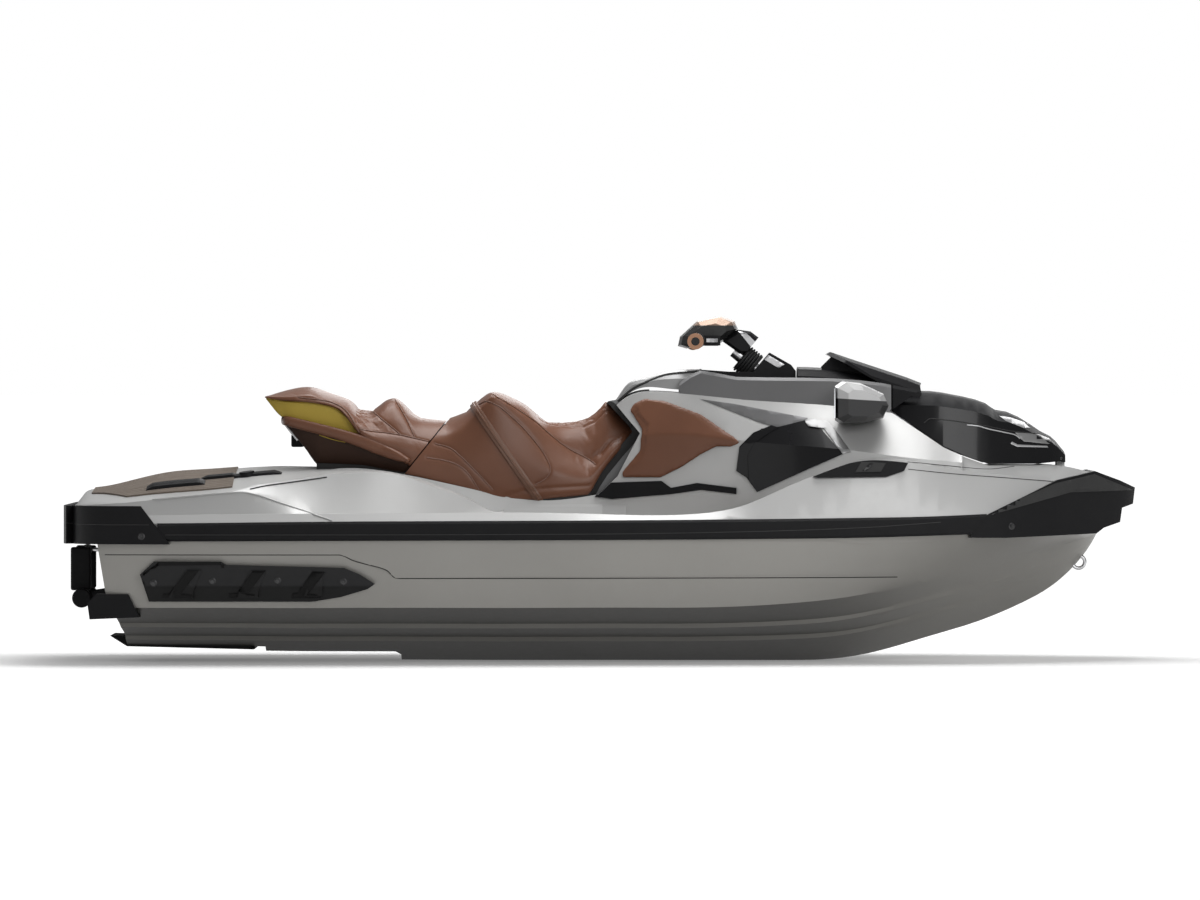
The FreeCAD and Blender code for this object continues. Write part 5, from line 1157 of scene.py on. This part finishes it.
# Side plates of the console: a dark air slot below the fairing, the bright bracket round the front
# edge of the cowl, and the slot of the vent, all clipped to the deck.
cowl_skin = skin_of(*solids("deck", "side_cowl_", "vent_"))
air_slot = ((700, 399), (733, 403.5), (806, 417.5), (801, 421), (777, 427.5), (757, 421.5), (728, 410))
bracket = ((803, 421), (811, 418), (827, 421), (848, 451), (839, 452.5), (821, 427.5), (806, 425.5))
flange = (
    (735, 470), (738, 446), (752, 432), (770, 424.5), (777, 427), (768, 432), (752, 443), (746, 455),
    (747, 478),
)
vent_slot = ((857, 460), (881, 461.5), (876, 470), (850.5, 470.5))
vent_bar = ((865, 461.5), (869, 461.7), (862, 469), (858, 469))
side_patches("console_slot", air_slot, deck_skin, 0.002, dark_satin)
side_patches("cowl_bracket", bracket, cowl_skin, 0.006, lid_silver)
side_patches("cowl_flange", flange, deck_skin, 0.010, gloss_black, pitch=0.008)
side_patches("vent_slot", vent_slot, cowl_skin, 0.003, seam_and_shade_black)
side_patches("vent_bar", vent_bar, cowl_skin, 0.006, gloss_black, pitch=0.01)

# Bay sills: strips of the deck's moulding on the pedestal below the saddle, along the top of the
# engine bay's sides.
sill_top, sill_thickness, footwell_middle = 503.5, 0.004, 0.45
sill_profile = ((sill_top, 0.0004), (506, 0.0035), (511, 0.0080), (518, 0.0140))
for side, flank in flanks:
    rings = []
    for px in np.linspace(510, 626, 40):
        x, z = seen(px, sill_top)
        seen_from = Vector((x, side * footwell_middle, z))
        wall = abs(deck_skin.ray_cast(seen_from, Vector((0, -side, 0)))[0].y)
        outer = [spot(px, py, side * (wall + out)) for py, out in sill_profile]
        rings.append(outer + [place - Vector((0, side * sill_thickness, 0)) for place in reversed(outer)])
    fitted(skinned(f"bay_sill_{flank}", rings), deck_gelcoat)

# Sponsons: plates of pebbled black polymer, a little paler over the upper half than in the recess
# below, with three slanting bars with feet and a bar along the top moulded on each.
sponson_black = Finish("sponson_black", Specular_IOR_Level=0.22)
upper_half = (sponson_black.along("z") - seen(0, 582)[1]).rise(-0.006, 0.006)
# The upper half is painted paler than the recess below it.
paler_upper_half = upper_half * (0.75 + sponson_black.cloud(30) * 0.25)
sponson_black.feed(
    Base_Color=sponson_black.mix(paler_upper_half, 0.004, (0.026, 0.026, 0.027)),
    Roughness=sponson_black.cloud(80) * 0.14 + 0.40,
)
sponson_black.relief(sponson_black.pebbles(850), 0.0002)
coat(sponson_black, "sponson_")
rib_outlines = (
    ((195.4, 566.7), (206.9, 566.7), (188.6, 590), (200, 591.3), (199, 594), (170.2, 593.6), (171.3, 590.2),
     (177, 590)),
    ((259.7, 566.7), (272.4, 566.7), (254, 590), (265.5, 591.3), (264.3, 593.6), (235.6, 593.6),
     (236.3, 589.7), (243.7, 589.5)),
    ((318.3, 567.4), (330.9, 568.1), (313.7, 590), (327.4, 591.3), (326.3, 593.6), (297.6, 594),
     (298.8, 589.4), (303.3, 589.2)),
    ((161, 557.8), (231, 558.2), (232.2, 561), (163.3, 561.7), (151.8, 569.4), (148.8, 570.4)),
)
rib_black = plain("rib_black", (20,), 0.003, 0.006, (90,), 0.1, 0.38, Specular_IOR_Level=0.15)
for i, corners in enumerate(rib_outlines):
    side_patches(f"sponson_rib_{i}", corners, skin_of(*solids("sponson_")), 0.005, rib_black, pitch=0.02)

# Seams of the bumpers and rails: the sunk line where the top cap of each black moulding meets its
# lower band.
stern_path = ((73, 520.5), (90, 521.5), (110, 521.7), (158, 521.7))
rail_seam = ((174, 531.6), (400, 531.4), (600, 530.6), (760, 528), (860, 524.5), (935, 519.5))
trim_line("stern_seam", skin_of(nodes["stern_bumper"]), [stern_path], -0.0012, 0.0018, seam_and_shade_black)
trim_line("rail_seam", skin_of(*solids("rub_rail_")), [rail_seam], -0.0012, 0.0018, seam_and_shade_black)

# Steering boot: a ribbed rubber sleeve, pulled over the steering stem between its base and the
# neck, which turns with the bar.
stem_turn = Vector((2.2166 + stern_place, 0, 0.9517 + keel_height))
stem_line = Vector((-0.7690, 0, 0.6392)).normalized()
bore, fold_pitch, folds, boot_top, boot_points = 0.030, 0.0095, 5, 0.0475, 48
boot_profile = [(bore, -0.006), (0.046, -0.006)]
for fold in range(folds):
    base = -0.001 + fold * fold_pitch
    boot_profile += [(0.047, base), (0.049, base + 0.003), (0.047, base + 0.006), (0.041, base + 0.0078)]
boot_profile += [(0.047, boot_top), (bore, boot_top)]
flat = stem_line.cross(Vector((0, 1, 0))).normalized()
turns = [2 * math.pi * k / boot_points for k in range(boot_points)]
steering_boot = skinned("steering_boot", [
    [stem_turn + stem_line * h + (flat * math.cos(a) + Vector((0, math.sin(a), 0))) * r for a in turns]
    for r, h in boot_profile
])
rounded(steering_boot, 50)
fitted(steering_boot, rubber, "handlebar")

# Cargo rails: two low toggles of black polymer on each side of the rear deck, moulded to its slope
# and screwed down, for a rack to clip on to.
deck_and_mat = skin_of(*solids("deck", "rear_mat"))
toggle_root, toggle_taper = -0.004, 8
for side, flank in flanks:
    for label, start, end, inner, outer, height in (
        (f"cargo_toggle_rear_{flank}", 152, 210, side * 0.335, side * 0.395, 0.014),
        (f"cargo_toggle_front_{flank}", 205, 285, side * 0.275, side * 0.318, 0.012),
    ):
        shoulder = height * 0.7
        profile = (
            (inner, toggle_root), (inner, shoulder), (inner * 0.7 + outer * 0.3, height),
            (inner * 0.3 + outer * 0.7, height), (outer, shoulder), (outer, toggle_root),
        )
        rings = []
        for px in np.linspace(start, end, 24):
            fade = min(1, (px - start) / toggle_taper + 0.25, (end - px) / toggle_taper + 0.25)
            rings.append([
                from_above(deck_and_mat, seen(px, 0)[0], y) + Vector((0, 0, lift * (fade if lift > 0 else 1)))
                for y, lift in profile
            ])
        bar = skinned(label, rings)
        take_up(bar, "BEVEL", width=0.0015, segments=2, limit_method="ANGLE")
        fitted(bar, black_polymer)

# Bar ends: black rubber plugs, pressed into the copper-coloured rings at the ends of the grips and
# rounded at their rims.
plug_radius, plug_length, plug_sunk = 0.0135, 0.010, 0.0030
for side, flank in flanks:
    ring_mesh = nodes[f"grip_ring_{flank}"].data
    outermost = max(ring_mesh.polygons, key=lambda f: f.area * (f.normal.y * side > 0.7))
    middle = sum((v.co for v in ring_mesh.vertices), Vector()) / len(ring_mesh.vertices)
    out_face = outermost.normal.copy()
    reach = max((v.co - middle).dot(out_face) for v in ring_mesh.vertices)
    bpy.ops.mesh.primitive_cylinder_add(
        vertices=40, radius=plug_radius, depth=plug_length, location=middle + out_face * (reach - plug_sunk),
        rotation=out_face.to_track_quat("Z", "Y").to_euler(),
    )
    fitted(bevelled(f"bar_end_{flank}", 0.0022, 3), rubber, "handlebar")

# Ladder covers: round bosses of black polymer over the pivots of the boarding ladder, and thick
# mouldings round its legs, which swing with it.
boss_radius, boss_depth, boss_edge = 0.031, 0.020, 0.005
leg_length, leg_breadth, leg_height, leg_edge = 0.065, 0.032, 0.140, 0.007
for side, flank in flanks:
    low, high = (Vector(corner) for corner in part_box(f"ladder_bracket_{flank}"))
    pivot = Vector((0.049 + stern_place, (low.y + high.y) / 2 + side * 0.017, 0.206 + keel_height))
    bpy.ops.mesh.primitive_cylinder_add(
        vertices=48, radius=boss_radius, depth=boss_depth, location=pivot, rotation=(math.pi / 2, 0, 0)
    )
    fitted(bevelled(f"ladder_boss_{flank}", boss_edge, 4), black_polymer)
    bpy.ops.mesh.primitive_cube_add(size=1, location=(-1.681, side * 0.155, 0.050))
    leg = bevelled(f"ladder_leg_{flank}", leg_edge, 3, (leg_length, leg_breadth, leg_height))
    fitted(leg, black_polymer, "boarding_ladder")

# Deflector struts: two flat webs of black polymer that carry the rear edge of the wind deflector.
# They stand on the dash and rise with it when the hood is opened.
strut_outline = ((820.5, 370.6), (821.5, 366.8), (831.5, 356.8), (862, 373), (860, 376.5))
strut_inner, strut_outer = 0.066, 0.074
for side, flank in flanks:
    rings = [[spot(*corner, side * y) for corner in strut_outline] for y in (strut_inner, strut_outer)]
    strut = skinned(f"deflector_strut_{flank}", rings)
    take_up(strut, "BEVEL", width=0.0012, segments=2)
    fitted(strut, black_polymer, "hood_lid")
